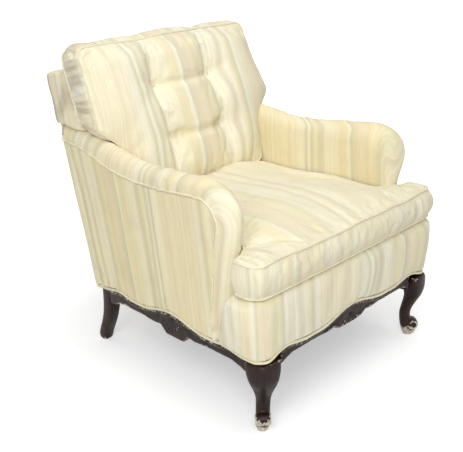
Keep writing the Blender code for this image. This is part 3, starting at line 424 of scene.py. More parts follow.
def lay_cloth(piece: bpy.types.Object, layout: Layout) -> None:
    """Writes the piece's cloth map: how far across the stripes, and how far along them, in metres.

    Args:
        piece: The object.
        layout: Gives the map's rows from the corners' places and their faces' normals.
    """
    mesh = piece.data
    layer = mesh.uv_layers.get("cloth") or mesh.uv_layers.new(name="cloth")
    corner = np.empty(len(mesh.loops), np.int32)
    mesh.loops.foreach_get("vertex_index", corner)
    sizes = np.empty(len(mesh.polygons), np.int32)
    mesh.polygons.foreach_get("loop_total", sizes)
    facing = np.hstack((vectors_of(mesh.polygons, "normal"), vectors_of(mesh.polygons, "center")))
    rows = layout(points_of(piece)[corner], np.repeat(facing, sizes, axis=0))
    layer.data.foreach_set("uv", rows.astype(np.float32).ravel())


def set_attribute(piece: bpy.types.Object, name: str, values: np.ndarray) -> None:
    """Stores one number for each vertex of the piece under a name."""
    found = piece.data.attributes.get(name) or piece.data.attributes.new(name, "FLOAT", "POINT")
    found.data.foreach_set("value", values.astype(np.float32))


def mark_edges(piece: bpy.types.Object, rounds: int = 6, scale: float = 0.0005) -> None:
    """Stores how sharply the surface turns outwards at each vertex, as "edge".

    Args:
        piece: The object, with an even mesh.
        rounds: How widely the surface is compared.
        scale: The height over its surroundings that counts as a full edge.
    """
    bm = bmesh.new()
    bm.from_mesh(piece.data)
    smooth(bm, bm.verts, rounds)
    softened = np.array([vert.co[:] for vert in bm.verts])
    bm.free()
    proud = ((points_of(piece) - softened) * normals_of(piece)).sum(axis=1)
    set_attribute(piece, "edge", np.clip(proud / scale, 0.0, 1.0))


def stand_for(
    piece: bpy.types.Object, nodes: Sequence[str], finish: bpy.types.Material
) -> None:
    """Dresses a piece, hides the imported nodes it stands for, and fixes it to the chair.

    Args:
        piece: The finished object.
        nodes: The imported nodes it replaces.
        finish: Its material.
    """
    piece.data.materials.clear()
    piece.data.materials.append(finish)
    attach(piece, "root")
    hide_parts(*nodes)
    log.info("%s: %d faces", piece.name, len(piece.data.polygons))


def smooth_line(knots: np.ndarray, spacing: float, closed: bool) -> np.ndarray:
    """Even points on a smooth curve through the knots.

    Args:
        knots: Rows of x, y, z.
        spacing: The distance between the new points.
        closed: Whether the curve returns to its start.

    Returns:
        Rows of x, y, z.
    """
    if closed:
        padded = np.vstack((knots[-1:], knots, knots[:2]))
    else:
        padded = np.vstack((2 * knots[0] - knots[1], knots, 2 * knots[-1] - knots[-2]))
    share = np.linspace(0, 1, 12, endpoint=False)[:, None]
    runs = []
    for a, b, c, d in zip(padded, padded[1:], padded[2:], padded[3:]):
        runs.append(0.5 * (2 * b + (c - a) * share + (2 * a - 5 * b + 4 * c - d) * share**2
                           + (3 * b - a - 3 * c + d) * share**3))
    fine = np.vstack(runs + [knots[:1] if closed else knots[-1:]])
    gone = np.concatenate(([0.0], np.cumsum(np.linalg.norm(np.diff(fine, axis=0), axis=1))))
    count = max(4, int(gone[-1] / spacing))
    wanted = np.linspace(0, gone[-1], count, endpoint=not closed)
    return np.stack([np.interp(wanted, gone, fine[:, axis]) for axis in range(3)], axis=1)


@dataclass
class Welt:
    """A covered piping cord sewn into a seam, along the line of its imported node."""

    node: str
    radius: float = 0.0030
    sunk: float = 0.30
    around_edge: float = 0.0043

    def middle_line(self) -> tuple[np.ndarray, bool]:
        """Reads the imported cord's rings and gives their centres.

        Returns:
            The centres in order, and whether the cord is closed.
        """
        bm = merged_mesh(self.node)
        ring_of: dict[bmesh.types.BMVert, int] = {}
        rings: list[list[bmesh.types.BMVert]] = []
        for start in bm.verts:
            if start in ring_of:
                continue
            ring, waiting = [], [start]
            ring_of[start] = len(rings)
            while waiting:
                vert = waiting.pop()
                ring.append(vert)
                for edge in vert.link_edges:
                    other = edge.other_vert(vert)
                    if other not in ring_of and edge.calc_length() < self.around_edge:
                        ring_of[other] = len(rings)
                        waiting.append(other)
            rings.append(ring)
        beside: list[set[int]] = [set() for _ in rings]
        for edge in bm.edges:
            one, two = (ring_of[vert] for vert in edge.verts)
            if one != two:
                beside[one].add(two)
                beside[two].add(one)
        centres = [sum((vert.co for vert in ring), Vector()) / len(ring) for ring in rings]
        bm.free()
        ends = [number for number, others in enumerate(beside) if len(others) == 1]
        order = [ends[0] if ends else 0]
        while True:
            onward = [number for number in beside[order[-1]] if number not in order]
            if not onward:
                break
            order.append(onward[0])
        return np.array([centres[number][:] for number in order]), not ends

    def laid_on(self, covers: Sequence[bpy.types.Object], line: np.ndarray, closed: bool) -> np.ndarray:
        """Lays the cord's line against the covers it joins.

        Args:
            covers: The covers.
            line: Rows of x, y, z.
            closed: Whether the line returns to its start.

        Returns:
            The rows, moved onto the covers and a little into their seam.
        """
        bm = bmesh.new()
        for cover in covers:
            bm.from_mesh(cover.data)
        bm.verts.ensure_lookup_table()
        surface = BVHTree.FromBMesh(bm)
        corners = KDTree(len(bm.verts))
        for number, vert in enumerate(bm.verts):
            corners.insert(vert.co, number)
        corners.balance()
        rows = []
        for place in line:
            nearest = surface.find_nearest(Vector(place))[0]
            near = corners.find_n(nearest, 14)
            outwards = sum((bm.verts[number].normal for _, number, _ in near), Vector()).normalized()
            rows.append(nearest + outwards * self.radius * (1 - 2 * self.sunk))
        bm.free()
        laid = np.array([row[:] for row in rows])
        for _ in range(3):
            middle = (np.roll(laid, 1, axis=0) + 2 * laid + np.roll(laid, -1, axis=0)) / 4
            laid = middle if closed else np.vstack((laid[:1], middle[1:-1], laid[-1:]))
        return laid

    def build(
        self,
        name: str,
        onto: Sequence[bpy.types.Object] = (),
        moved: Callable[[np.ndarray], np.ndarray] | None = None,
    ) -> None:
        """Makes the cord.

        Args:
            name: The new piece's name.
            onto: The covers it lies on, or none where it stays on its line.
            moved: How the line moves first: with the covers' slump, or on past its ends.
        """
        knots, closed = self.middle_line()
        line = smooth_line(knots, 0.004, closed)
        if moved:
            line = moved(line)
        if onto:
            line = self.laid_on(onto, line, closed)
        curve = bpy.data.curves.new(name, "CURVE")
        curve.dimensions = "3D"
        curve.bevel_depth = self.radius
        curve.bevel_resolution = 2
        curve.use_fill_caps = not closed
        curve.twist_mode = "MINIMUM"
        spline = curve.splines.new("POLY")
        spline.points.add(len(line) - 1)
        spline.points.foreach_set("co", np.column_stack((line, np.ones(len(line)))).ravel())
        spline.use_cyclic_u = closed
        holder = bpy.data.objects.new(f"{name}_line", curve)
        mesh = bpy.data.meshes.new_from_object(holder)
        bpy.data.objects.remove(holder)
        bpy.data.curves.remove(curve)
        mesh.name = name
        mesh.shade_smooth()
        cord = bpy.data.objects.new(name, mesh)
        bpy.context.scene.collection.objects.link(cord)
        bias = (0.6, 0.6, 0.5)
        lay_cloth(cord, lambda corner, facing: np.stack((corner @ bias, corner[:, 2]), axis=1))
        stand_for(cord, [self.node], WELT_COVER.material())


# ---------------------------------------------------------------- shader building


@dataclass
class Wiring:
    """Adds and links the nodes of one shader tree."""

    tree: bpy.types.NodeTree

    def node(self, kind: str, **settings: object) -> bpy.types.Node:
        """Adds a node of the kind, with its settings."""
        made = self.tree.nodes.new(kind)
        for name, value in settings.items():
            setattr(made, name, value)
        return made

    def feed(self, socket: Socket, value: object) -> None:
        """Links a socket into another, or sets its number."""
        if isinstance(value, Socket):
            self.tree.links.new(value, socket)
        else:
            socket.default_value = value

    def math(self, operation: str, a: object, b: object = 0.0, c: object = 0.0) -> Socket:
        """The result of a sum on one to three numbers."""
        made = self.node("ShaderNodeMath", operation=operation)
        for socket, value in zip(made.inputs, (a, b, c)):
            self.feed(socket, value)
        return made.outputs[0]

    def mix(self, share: object, a: object, b: object, blend: str = "MIX") -> Socket:
        """A mix of two colours."""
        made = self.node("ShaderNodeMix", data_type="RGBA", blend_type=blend)
        for index, value in ((0, share), (6, a), (7, b)):
            self.feed(made.inputs[index], value)
        return made.outputs[2]

    def between(
        self, value: object, low: float, high: float, to_low: float = 0.0, to_high: float = 1.0
    ) -> Socket:
        """A number moved smoothly from one range into another."""
        made = self.node("ShaderNodeMapRange", interpolation_type="SMOOTHSTEP")
        for socket, number in zip(made.inputs, (value, low, high, to_low, to_high)):
            self.feed(socket, number)
        return made.outputs[0]

    def noise(
        self, place: object, scale: float, detail: float = 2.0, roughness: float = 0.5
    ) -> Socket:
        """Cloudy noise in space, about 0.3 to 0.7."""
        made = self.node("ShaderNodeTexNoise", noise_dimensions="3D")
        self.feed(made.inputs["Vector"], place)
        made.inputs["Scale"].default_value = scale
        made.inputs["Detail"].default_value = detail
        made.inputs["Roughness"].default_value = roughness
        return made.outputs[0]

    def streaks(self, along: object, scale: float, detail: float = 1.0) -> Socket:
        """Noise along one number only."""
        made = self.node("ShaderNodeTexNoise", noise_dimensions="1D")
        self.feed(made.inputs["W"], along)
        made.inputs["Scale"].default_value = scale
        made.inputs["Detail"].default_value = detail
        return made.outputs[0]

    def vector(self, x: object, y: object, z: object = 0.0) -> Socket:
        """A vector of three numbers."""
        made = self.node("ShaderNodeCombineXYZ")
        for socket, value in zip(made.inputs, (x, y, z)):
            self.feed(socket, value)
        return made.outputs[0]

    def parts(self, value: Socket) -> Sequence[Socket]:
        """The three numbers of a vector."""
        made = self.node("ShaderNodeSeparateXYZ")
        self.feed(made.inputs[0], value)
        return made.outputs

    def scaled(self, value: Socket, factors: tuple[float, float, float]) -> Socket:
        """A vector times three factors."""
        made = self.node("ShaderNodeVectorMath", operation="MULTIPLY")
        self.feed(made.inputs[0], value)
        made.inputs[1].default_value = factors
        return made.outputs[0]

    def ramp(self, value: object, stops: Sequence[tuple[float, Sequence[float]]]) -> Socket:
        """A colour read from stops between 0 and 1."""
        made = self.node("ShaderNodeValToRGB")
        elements = made.color_ramp.elements
        elements[0].position, elements[1].position = stops[0][0], stops[-1][0]
        elements[0].color, elements[1].color = (*stops[0][1], 1), (*stops[-1][1], 1)
        for position, colour in stops[1:-1]:
            elements.new(position).color = (*colour, 1)
        self.feed(made.inputs[0], value)
        return made.outputs[0]

    def sum_of(self, *shares: tuple[object, float]) -> Socket:
        """The sum of some numbers, each times its share."""
        total, share = shares[0]
        total = self.math("MULTIPLY", total, share)
        for value, share in shares[1:]:
            total = self.math("ADD", total, self.math("MULTIPLY", value, share))
        return total

    def bump(self, shader: bpy.types.Node, height: Socket, strength: float, distance: float) -> None:
        """Turns a height into the shader's normal."""
        made = self.node("ShaderNodeBump")
        made.inputs["Strength"].default_value = strength
        made.inputs["Distance"].default_value = distance
        self.feed(made.inputs["Height"], height)
        self.feed(shader.inputs["Normal"], made.outputs[0])

    def group(self, kind: bpy.types.NodeTree, **values: object) -> bpy.types.Node:
        """A node group, with its inputs fed by name."""
        made = self.node("ShaderNodeGroup", node_tree=kind)
        for name, value in values.items():
            self.feed(made.inputs[name.replace("_", " ").title()], value)
        return made


def new_group(
    name: str, inputs: Sequence[tuple[str, str]], outputs: Sequence[tuple[str, str]]
) -> tuple[Wiring, bpy.types.Node, bpy.types.Node]:
    """Starts a shader node group.

    Args:
        name: The group's name.
        inputs: Each input's name and kind.
        outputs: Each output's name and kind.

    Returns:
        The wiring, the node that holds the inputs and the node that takes the outputs.
    """
    tree = bpy.data.node_groups.new(name, "ShaderNodeTree")
    for label, kind in inputs:
        tree.interface.new_socket(name=label, in_out="INPUT", socket_type=f"NodeSocket{kind}")
    for label, kind in outputs:
        tree.interface.new_socket(name=label, in_out="OUTPUT", socket_type=f"NodeSocket{kind}")
    wiring = Wiring(tree)
    return wiring, wiring.node("NodeGroupInput"), wiring.node("NodeGroupOutput")


BROAD_FROM = 24


def stripe_stops(
    stripes: Sequence[tuple[float, Thread]]
) -> tuple[float, list[tuple[float, Sequence[float]]]]:
    """Turns a list of stripes into stops on a ramp: a narrow stripe has one stop and a broad one two.

    Args:
        stripes: Each stripe's width in millimetres, and its thread.

    Returns:
        The width of one repeat in metres, and the stops.
    """
    total = sum(width for width, _ in stripes)
    stops: list[tuple[float, Sequence[float]]] = []
    gone = 0.0
    for width, thread in stripes:
        places = (0.5,) if width < BROAD_FROM else (0.22, 0.78)
        stops += [((gone + width * place) / total, thread.value) for place in places]
        gone += width
    return total / 1000, stops


BROAD_STRIPES = (
    (110, Thread.CREAM), (14, Thread.WHITE), (8, Thread.SAGE), (12, Thread.WHITE), (7, Thread.SAGE),
    (22, Thread.IVORY), (9, Thread.SAGE), (10, Thread.BEIGE), (14, Thread.WHITE), (34, Thread.IVORY),
    (34, Thread.BUTTER), (8, Thread.WHITE), (8, Thread.SAGE), (44, Thread.PEACH), (36, Thread.BUTTER),
    (10, Thread.SAGE), (14, Thread.WHITE), (22, Thread.IVORY), (10, Thread.WHITE), (20, Thread.BEIGE),
    (10, Thread.WHITE), (18, Thread.BUTTER), (8, Thread.SAGE), (12, Thread.WHITE), (20, Thread.IVORY),
    (36, Thread.CREAM),
)
NARROW_STRIPES = (
    (9, Thread.WHITE), (5, Thread.SAGE), (13, Thread.IVORY), (6, Thread.BEIGE), (12, Thread.BUTTER),
    (5, Thread.WHITE), (15, Thread.CREAM), (5, Thread.STONE), (9, Thread.PEACH), (6, Thread.WHITE),
    (12, Thread.BEIGE), (15, Thread.IVORY), (5, Thread.STONE), (11, Thread.CREAM), (7, Thread.SAGE),
)


@cache
def striped_weave() -> bpy.types.NodeTree:
    """The shared group for the striped cover: warp stripes, fine streaks, slubs, weave and soil, grime with
    painted shade, and a tint that paints warm shade.
    """
    plain, stained, grimy_shade, yellowed = (
        (0.80, 0.74, 0.53, 1), (0.36, 0.31, 0.22, 1), (0.33, 0.26, 0.19, 1), (0.85, 0.76, 0.47, 1)
    )
    warp_pitch, weft_pitch = 0.0012, 0.0010
    wiring, given, out = new_group(
        "striped_weave",
        (("Cloth", "Vector"), ("Place", "Vector"), ("Shift", "Float"), ("Wander", "Float"), ("Soil", "Float"),
         ("Contrast", "Float"), ("Grime", "Float"), ("Tint", "Color")),
        (("Color", "Color"), ("Roughness", "Float"), ("Height", "Float")),
    )
    across, along, _ = wiring.parts(given.outputs["Cloth"])
    sway = wiring.math("SUBTRACT", wiring.noise(given.outputs["Place"], 6.0, 1.5), 0.5)
    across = wiring.math("ADD", wiring.math("ADD", across, given.outputs["Shift"]),
                         wiring.math("MULTIPLY", sway, given.outputs["Wander"]))
    broad_width, broad = stripe_stops(BROAD_STRIPES)
    narrow_width, narrow = stripe_stops(NARROW_STRIPES)
    broad_colour = wiring.ramp(wiring.math("FRACT", wiring.math("DIVIDE", across, broad_width)), broad)
    narrow_colour = wiring.ramp(wiring.math("FRACT", wiring.math("DIVIDE", across, narrow_width)), narrow)
    colour = wiring.mix(0.20, broad_colour, narrow_colour)
    colour = wiring.mix(given.outputs["Contrast"], plain, colour)
    streak = wiring.between(wiring.streaks(across, 260.0, 2.0), 0.30, 0.70, 0.95, 1.03)
    slub_place = wiring.vector(wiring.math("MULTIPLY", across, 900.0), wiring.math("MULTIPLY", along, 26.0))
    slub = wiring.noise(slub_place, 1.0, 2.0)
    slub_light = wiring.between(slub, 0.30, 0.72, 0.95, 1.04)
    light = wiring.math("MULTIPLY", streak, slub_light)
    colour = wiring.mix(1.0, colour, wiring.vector(light, light, light), "MULTIPLY")
    cloud = wiring.between(wiring.noise(given.outputs["Place"], 11.0, 4.0, 0.6), 0.50, 0.74)
    stain = wiring.math("MULTIPLY", cloud, given.outputs["Soil"])
    colour = wiring.mix(stain, colour, stained)
    # Darkens by the mask of grime and painted shade; on the back cushion's boxing it paints the shade between
    # the gathers.
    colour = wiring.mix(given.outputs["Grime"], colour, grimy_shade)
    yellow = wiring.between(wiring.noise(given.outputs["Place"], 3.5, 2.0), 0.42, 0.66, 0.0, 0.07)
    colour = wiring.mix(yellow, colour, yellowed)
    # Multiplies in the tint colour, which paints warm shade into the arm cloths.
    colour = wiring.mix(1.0, colour, given.outputs["Tint"], "MULTIPLY")
    wiring.feed(out.inputs["Color"], colour)
    rib = wiring.math("SINE", wiring.math("MULTIPLY", across, 2 * math.pi / warp_pitch))
    pick = wiring.math("SINE", wiring.math("MULTIPLY", along, 2 * math.pi / weft_pitch))
    weave = wiring.math("MULTIPLY", rib, pick)
    height = wiring.math("ADD", wiring.math("MULTIPLY", weave, 0.30), slub)
    wiring.feed(out.inputs["Height"], height)
    wiring.feed(out.inputs["Roughness"], wiring.between(slub, 0.3, 0.7, 0.90, 0.80))
    return wiring.tree


@dataclass(frozen=True)
class Finish:
    """A surface of the chair, which becomes one material under its name."""

    name: str

    def material(self) -> bpy.types.Material:
        """The finish as a material, made once for its name."""
        found = bpy.data.materials.get(self.name)
        if found:
            return found
        made = bpy.data.materials.new(self.name)
        made.use_nodes = True
        wiring = Wiring(made.node_tree)
        place = wiring.node("ShaderNodeTexCoord").outputs["Object"]
        self.paint(wiring, made.node_tree.nodes["Principled BSDF"], place)
        return made

    def paint(self, wiring: Wiring, shader: bpy.types.Node, place: Socket) -> None:
        """Adds the finish's own nodes.

        Args:
            wiring: The material's tree.
            shader: Its Principled BSDF.
            place: The place on the piece, in metres.
        """
        raise NotImplementedError


@dataclass(frozen=True)
class StripedCover(Finish):
    """The woven striped cotton of every cushion, pad and panel."""

    shift: float = 0.0
    wander: float = 0.010
    soil: float = 0.10
    contrast: float = 1.0
    # A colour multiplied into the cover; on the arms it paints warm shade.
    tint: Colour = (1.0, 1.0, 1.0)

    def paint(self, wiring: Wiring, shader: bpy.types.Node, place: Socket) -> None:
        """Adds the weave on the piece's cloth map, with its grime and painted shade."""
        cloth = wiring.node("ShaderNodeUVMap", uv_map="cloth")
        # The attribute holds grime, and painted shade between the gathers of the back cushion's boxing.
        grime = wiring.node("ShaderNodeAttribute", attribute_name="grime")
        weave = wiring.group(
            striped_weave(), cloth=cloth.outputs[0], place=place, shift=self.shift,
            wander=self.wander, soil=self.soil, contrast=self.contrast, grime=grime.outputs["Fac"],
            tint=(*self.tint, 1),
        )
        wiring.bump(shader, weave.outputs["Height"], 0.35, 0.0006)
        wiring.feed(shader.inputs["Base Color"], weave.outputs["Color"])
        wiring.feed(shader.inputs["Roughness"], weave.outputs["Roughness"])
        shader.inputs["Sheen Weight"].default_value = 0.15
        shader.inputs["Sheen Roughness"].default_value = 0.5
        shader.inputs["Specular IOR Level"].default_value = 0.25


@cache
def wood_grain() -> bpy.types.NodeTree:
    """The shared group for grain: long streaks and pores along z."""
    wiring, given, out = new_group(
        "wood_grain", (("Place", "Vector"), ("Dark", "Color"), ("Light", "Color")),
        (("Color", "Color"), ("Height", "Float")),
    )
    figure = wiring.noise(wiring.scaled(given.outputs["Place"], (60.0, 60.0, 7.0)), 1.0, 4.0, 0.62)
    pores = wiring.noise(wiring.scaled(given.outputs["Place"], (900.0, 900.0, 60.0)), 1.0, 2.0)
    share = wiring.between(figure, 0.34, 0.68)
    wiring.feed(out.inputs["Color"], wiring.mix(share, given.outputs["Dark"], given.outputs["Light"]))
    wiring.feed(out.inputs["Height"], wiring.math("ADD", wiring.math("MULTIPLY", figure, 0.4), pores))
    return wiring.tree


@dataclass(frozen=True)
class OldLacquer(Finish):
    """Near-black lacquered mahogany, rubbed at its edges and chipped down to pale gesso."""

    name: str = "old_lacquer"
    dark: Colour = (0.0080, 0.0040, 0.0030)
    light: Colour = (0.026, 0.0105, 0.0068)
    rubbed: Colour = (0.060, 0.028, 0.019)
    gesso: Colour = (0.72, 0.66, 0.52)
    dusty_gesso: Colour = (0.46, 0.41, 0.33)

    def paint(self, wiring: Wiring, shader: bpy.types.Node, place: Socket) -> None:
        """Adds the grain, the rubbed edges, and chips where edge, mark and noise add up."""
        grain = wiring.group(wood_grain(), place=place, dark=(*self.dark, 1), light=(*self.light, 1))
        edge = wiring.node("ShaderNodeAttribute", attribute_name="edge").outputs["Fac"]
        chipped = wiring.node("ShaderNodeAttribute", attribute_name="chips").outputs["Fac"]
        patchy = wiring.noise(place, 30.0, 3.0, 0.6)
        speck = wiring.noise(place, 170.0, 3.0, 0.65)
        rub = wiring.math("MULTIPLY", wiring.between(edge, 0.25, 0.9), wiring.between(patchy, 0.40, 0.62))
        colour = wiring.mix(wiring.math("MULTIPLY", rub, 0.75), grain.outputs["Color"], (*self.rubbed, 1))
        wear = wiring.sum_of((edge, 0.40), (chipped, 0.62), (patchy, 0.35), (speck, 0.8))
        chip = wiring.between(wear, 0.985, 1.03)
        bare = wiring.mix(wiring.between(speck, 0.4, 0.6), (*self.gesso, 1), (*self.dusty_gesso, 1))
        colour = wiring.mix(chip, colour, bare)
        wiring.feed(shader.inputs["Base Color"], colour)
        gloss = wiring.between(patchy, 0.35, 0.65, 0.34, 0.50)
        wiring.feed(shader.inputs["Roughness"], wiring.math("ADD", gloss, wiring.math("MULTIPLY", chip, 0.4)))
        height = wiring.math("SUBTRACT", wiring.math("MULTIPLY", grain.outputs["Height"], 0.25), chip)
        wiring.bump(shader, height, 0.30, 0.0006)
        shader.inputs["Specular IOR Level"].default_value = 0.20


@dataclass(frozen=True)
class PlainTimber(Finish):
    """Unfinished beech of the hidden frame."""

    name: str = "plain_beech"
    dark: Colour = (0.36, 0.22, 0.11)
    light: Colour = (0.56, 0.38, 0.21)

    def paint(self, wiring: Wiring, shader: bpy.types.Node, place: Socket) -> None:
        """Adds the grain."""
        grain = wiring.group(wood_grain(), place=place, dark=(*self.dark, 1), light=(*self.light, 1))
        wiring.feed(shader.inputs["Base Color"], grain.outputs["Color"])
        wiring.feed(shader.inputs["Roughness"], wiring.between(grain.outputs["Height"], 0.5, 1.0, 0.75, 0.55))
        wiring.bump(shader, grain.outputs["Height"], 1.0, 0.0004)


@cache
def plain_weave() -> bpy.types.NodeTree:
    """The shared group for coarse plain cloth: an over-and-under grid of threads on x and y."""
    wiring, given, out = new_group(
        "plain_weave", (("Place", "Vector"), ("Thread", "Float"), ("Dark", "Color"), ("Light", "Color")),
        (("Color", "Color"), ("Height", "Float")),
    )
    x, y, _ = wiring.parts(given.outputs["Place"])
    turns = wiring.math("DIVIDE", math.pi, given.outputs["Thread"])
    warp = wiring.math("SINE", wiring.math("MULTIPLY", x, turns))
    weft = wiring.math("SINE", wiring.math("MULTIPLY", y, turns))
    cross = wiring.between(wiring.math("MULTIPLY", warp, weft), -0.8, 0.8)
    fibre = wiring.noise(given.outputs["Place"], 260.0, 3.0, 0.6)
    height = wiring.math("ADD", cross, wiring.math("MULTIPLY", fibre, 0.5))
    share = wiring.between(height, 0.2, 1.2)
    wiring.feed(out.inputs["Color"], wiring.mix(share, given.outputs["Dark"], given.outputs["Light"]))
    wiring.feed(out.inputs["Height"], height)
    return wiring.tree


@dataclass(frozen=True)
class CoarseCloth(Finish):
    """Burlap, webbing and cambric: a plain weave of coarse threads."""

    thread: float
    dark: Colour
    light: Colour

    def paint(self, wiring: Wiring, shader: bpy.types.Node, place: Socket) -> None:
        """Adds the weave."""
        weave = wiring.group(
            plain_weave(), place=place, thread=self.thread, dark=(*self.dark, 1), light=(*self.light, 1)
        )
        wiring.feed(shader.inputs["Base Color"], weave.outputs["Color"])
        wiring.feed(shader.inputs["Roughness"], wiring.between(weave.outputs["Height"], 0.2, 1.2, 0.95, 0.85))
        wiring.bump(shader, weave.outputs["Height"], 0.6, 0.0008)


@dataclass(frozen=True)
class SpringSteel(Finish):
    """Drawn spring wire, dulled and spotted with rust."""

    name: str = "old_spring_wire"
    steel: Colour = (0.33, 0.32, 0.31)
    rusted: Colour = (0.20, 0.085, 0.04)

    def paint(self, wiring: Wiring, shader: bpy.types.Node, place: Socket) -> None:
        """Adds the rust, which covers the bare metal."""
        rust = wiring.between(wiring.noise(place, 90.0, 4.0, 0.65), 0.50, 0.62)
        wiring.feed(shader.inputs["Base Color"], wiring.mix(rust, (*self.steel, 1), (*self.rusted, 1)))
        wiring.feed(shader.inputs["Metallic"], wiring.between(rust, 0.0, 1.0, 1.0, 0.0))
        wiring.feed(shader.inputs["Roughness"], wiring.between(rust, 0.0, 1.0, 0.38, 0.85))


# ---------------------------------------------------------------- the covers' maps


def wrapped(front_y: float) -> Layout:
    """The cloth map of a band that runs across the front and turns both corners.

    Args:
        front_y: The y of the band's front face.

    Returns:
        The layout: across the stripes along the band, along them in height.
    """

    def layout(corner: np.ndarray, facing: np.ndarray) -> np.ndarray:
        """Across round the corners, and up."""
        sign = np.where(facing[:, 3] < 0, -1.0, 1.0)
        return np.stack((corner[:, 0] + sign * (corner[:, 1] - front_y), corner[:, 2]), axis=1)

    return layout


@dataclass
class SeatCushion:
    """The loose T-shaped seat cushion: crowned, boxed, slumped in the middle and creased by use."""

    bottom_z: float = 0.3523
    top_z: float = 0.4363
    front_y: float = -0.3995
    farthest_y: float = -0.4095
    notch: tuple[float, float] = (0.258, -0.322)
    ear_x: float = 0.335
    box_shift: float = 0.046
    creases: tuple[tuple[Line, float, float], ...] = (
        (((-0.250, -0.285, 0.45), (-0.205, -0.250, 0.46), (-0.165, -0.245, 0.465)), 0.007, 0.0035),
        (((-0.250, -0.310, 0.45), (-0.215, -0.275, 0.46), (-0.180, -0.235, 0.465)), 0.006, 0.0030),
        (((-0.248, -0.265, 0.45), (-0.190, -0.225, 0.46), (-0.120, -0.215, 0.465)), 0.009, 0.0030),
        (((0.250, -0.280, 0.45), (0.195, -0.245, 0.46), (0.140, -0.235, 0.465)), 0.010, 0.0025),
        (((-0.262, -0.392, 0.44), (-0.235, -0.350, 0.45), (-0.225, -0.305, 0.458)), 0.012, 0.0025),
        (((0.270, -0.392, 0.44), (0.246, -0.350, 0.45), (0.225, -0.305, 0.458)), 0.012, 0.0025),
        (((-0.050, -0.250, 0.474), (0.040, -0.170, 0.474), (0.070, -0.060, 0.474)), 0.020, 0.0025),
        (((0.110, -0.300, 0.474), (0.150, -0.180, 0.474), (0.140, -0.060, 0.474)), 0.018, 0.0020),
    )

    def slump(self, points: np.ndarray) -> np.ndarray:
        """How the whole cushion gives way: its front edge waves and its middle sinks.

        Args:
            points: Rows of x, y, z.

        Returns:
            The rows, moved.
        """
        x, y, z = points.T
        upper = step(z, self.bottom_z + 0.02, self.top_z)
        wave = 0.0016 * np.sin(x * 21 + 0.8) + 0.0010 * np.sin(x * 47 + y * 30)
        seat = np.exp(-((x / 0.17) ** 2) - ((y + 0.05) / 0.15) ** 2)
        front = np.exp(-((x / 0.20) ** 2) - ((y - self.front_y) / 0.05) ** 2)
        rear = step(y, 0.02, 0.14) * (1 - 0.4 * step(np.abs(x), 0.14, 0.235))
        beside = step(np.abs(x), 0.165, 0.235) * step(y, -0.30, -0.12) * (1 - 0.5 * rear)
        from_notch = np.hypot(np.abs(x) - self.notch[0], y - self.notch[1])
        reach = 0.020 * np.exp(-((from_notch / 0.034) ** 2)) * step(z, self.bottom_z, self.bottom_z + 0.03)
        ear = np.clip(np.abs(x) - self.ear_x, 0.0, None)
        moved = points.copy()
        moved[:, 0] += np.sign(x) * reach
        moved[:, 1] += reach
        moved[:, 2] += upper * (wave - 0.004 * seat - 0.003 * front + 0.014 * rear + 0.010 * beside)
        moved[:, 0] -= np.sign(x) * ear * np.where(x < 0, 0.6, 0.1)
        return moved

    def layout(self, corner: np.ndarray, facing: np.ndarray) -> np.ndarray:
        """The cloth map: stripes run front to back on the top, and up and down on the boxing."""
        sign = np.where(facing[:, 3] < 0, -1.0, 1.0)
        strip = corner[:, 0] + sign * (corner[:, 1] - self.front_y) + self.box_shift
        boxing = (facing[:, 5] < self.top_z - 0.003) & (np.abs(facing[:, 2]) < 0.8)
        across = np.where(boxing, strip, corner[:, 0])
        along = np.where(boxing, corner[:, 2], corner[:, 1])
        return np.stack((across, along), axis=1)

    def inside_arms(self, points: np.ndarray) -> np.ndarray:
        """Keeps the cushion between the arms and behind its front.

        Args:
            points: Rows of x, y, z.

        Returns:
            The rows, moved.
        """
        kept = points.copy()
        kept[:, 2] = np.maximum(points[:, 2], self.bottom_z)
        body = points[:, 1] > self.front_y + 0.110
        limit = arm_face(points[:, 1]) - 0.008
        limit += 0.006 * step(kept[:, 2], self.top_z - 0.010, self.top_z + 0.005)
        kept[:, 0] = np.where(body, np.clip(points[:, 0], -limit, limit), points[:, 0])
        kept[:, 1] = np.maximum(points[:, 1], self.farthest_y)
        return kept_clear(kept, ARM_PADS, 0.002)

    def build(self) -> None:
        """Makes the cushion and both of its welts."""
        block = subdivided(cad_copy("seat_cushion", "seat_cushion_cover", CUSHION_WALL_CREASE), 2)
        cushion = remeshed(block, 0.006, 2)
        points = points_of(cushion)
        crown = np.clip(points[:, 2] - self.top_z, 0.0, None)
        points[:, 2] -= 0.30 * crown
        place_points(cushion, points)
        near = distance_to(points, ("seat_welt_upper", "seat_welt_lower"), 0.02)
        held = np.where(near < 0.0065, 1.0, np.where(points[:, 2] < self.bottom_z + 0.002, 1.0, 0.0))
        puffed(cushion, held, pressure=4.0, slack=0.02, cap=0.022)
        subdivided(cushion, 1)
        points, normals = points_of(cushion), normals_of(cushion)
        rise = np.zeros(len(points))
        upper = step(points[:, 2], self.top_z, self.top_z + 0.012)
        for line, width, depth in self.creases:
            rise -= depth * fold(points, line, width)
        rise += upper * 0.0011 * ripple(points, 0.055, 3, (1.0, 0.55, 0.4))
        edge = np.exp(-((points[:, 2] - self.top_z - 0.006) / 0.012) ** 2)
        rise += edge * 0.0009 * ripple(points, 0.020, 8, (1.0, 1.0, 0.1))
        middle = np.exp(-(((points[:, 2] - 0.394) / 0.030) ** 2))
        rise += middle * 0.0013 * ripple(points, 0.034, 5, (1.0, 1.0, 0.15))
        place_points(cushion, self.inside_arms(self.slump(points + normals * rise[:, None])))
        lay_cloth(cushion, self.layout)
        finish = StripedCover("seat_cover", 0.45, 0.014, 0.05, 0.58)
        stand_for(cushion, ["seat_cushion"], finish.material())
        for node in ("seat_welt_upper", "seat_welt_lower"):
            Welt(node).build(f"{node}_cord", [cushion], self.slump)


WELT_COVER = StripedCover("welt_cover", 0.11, 0.004, 0.10, 0.45)


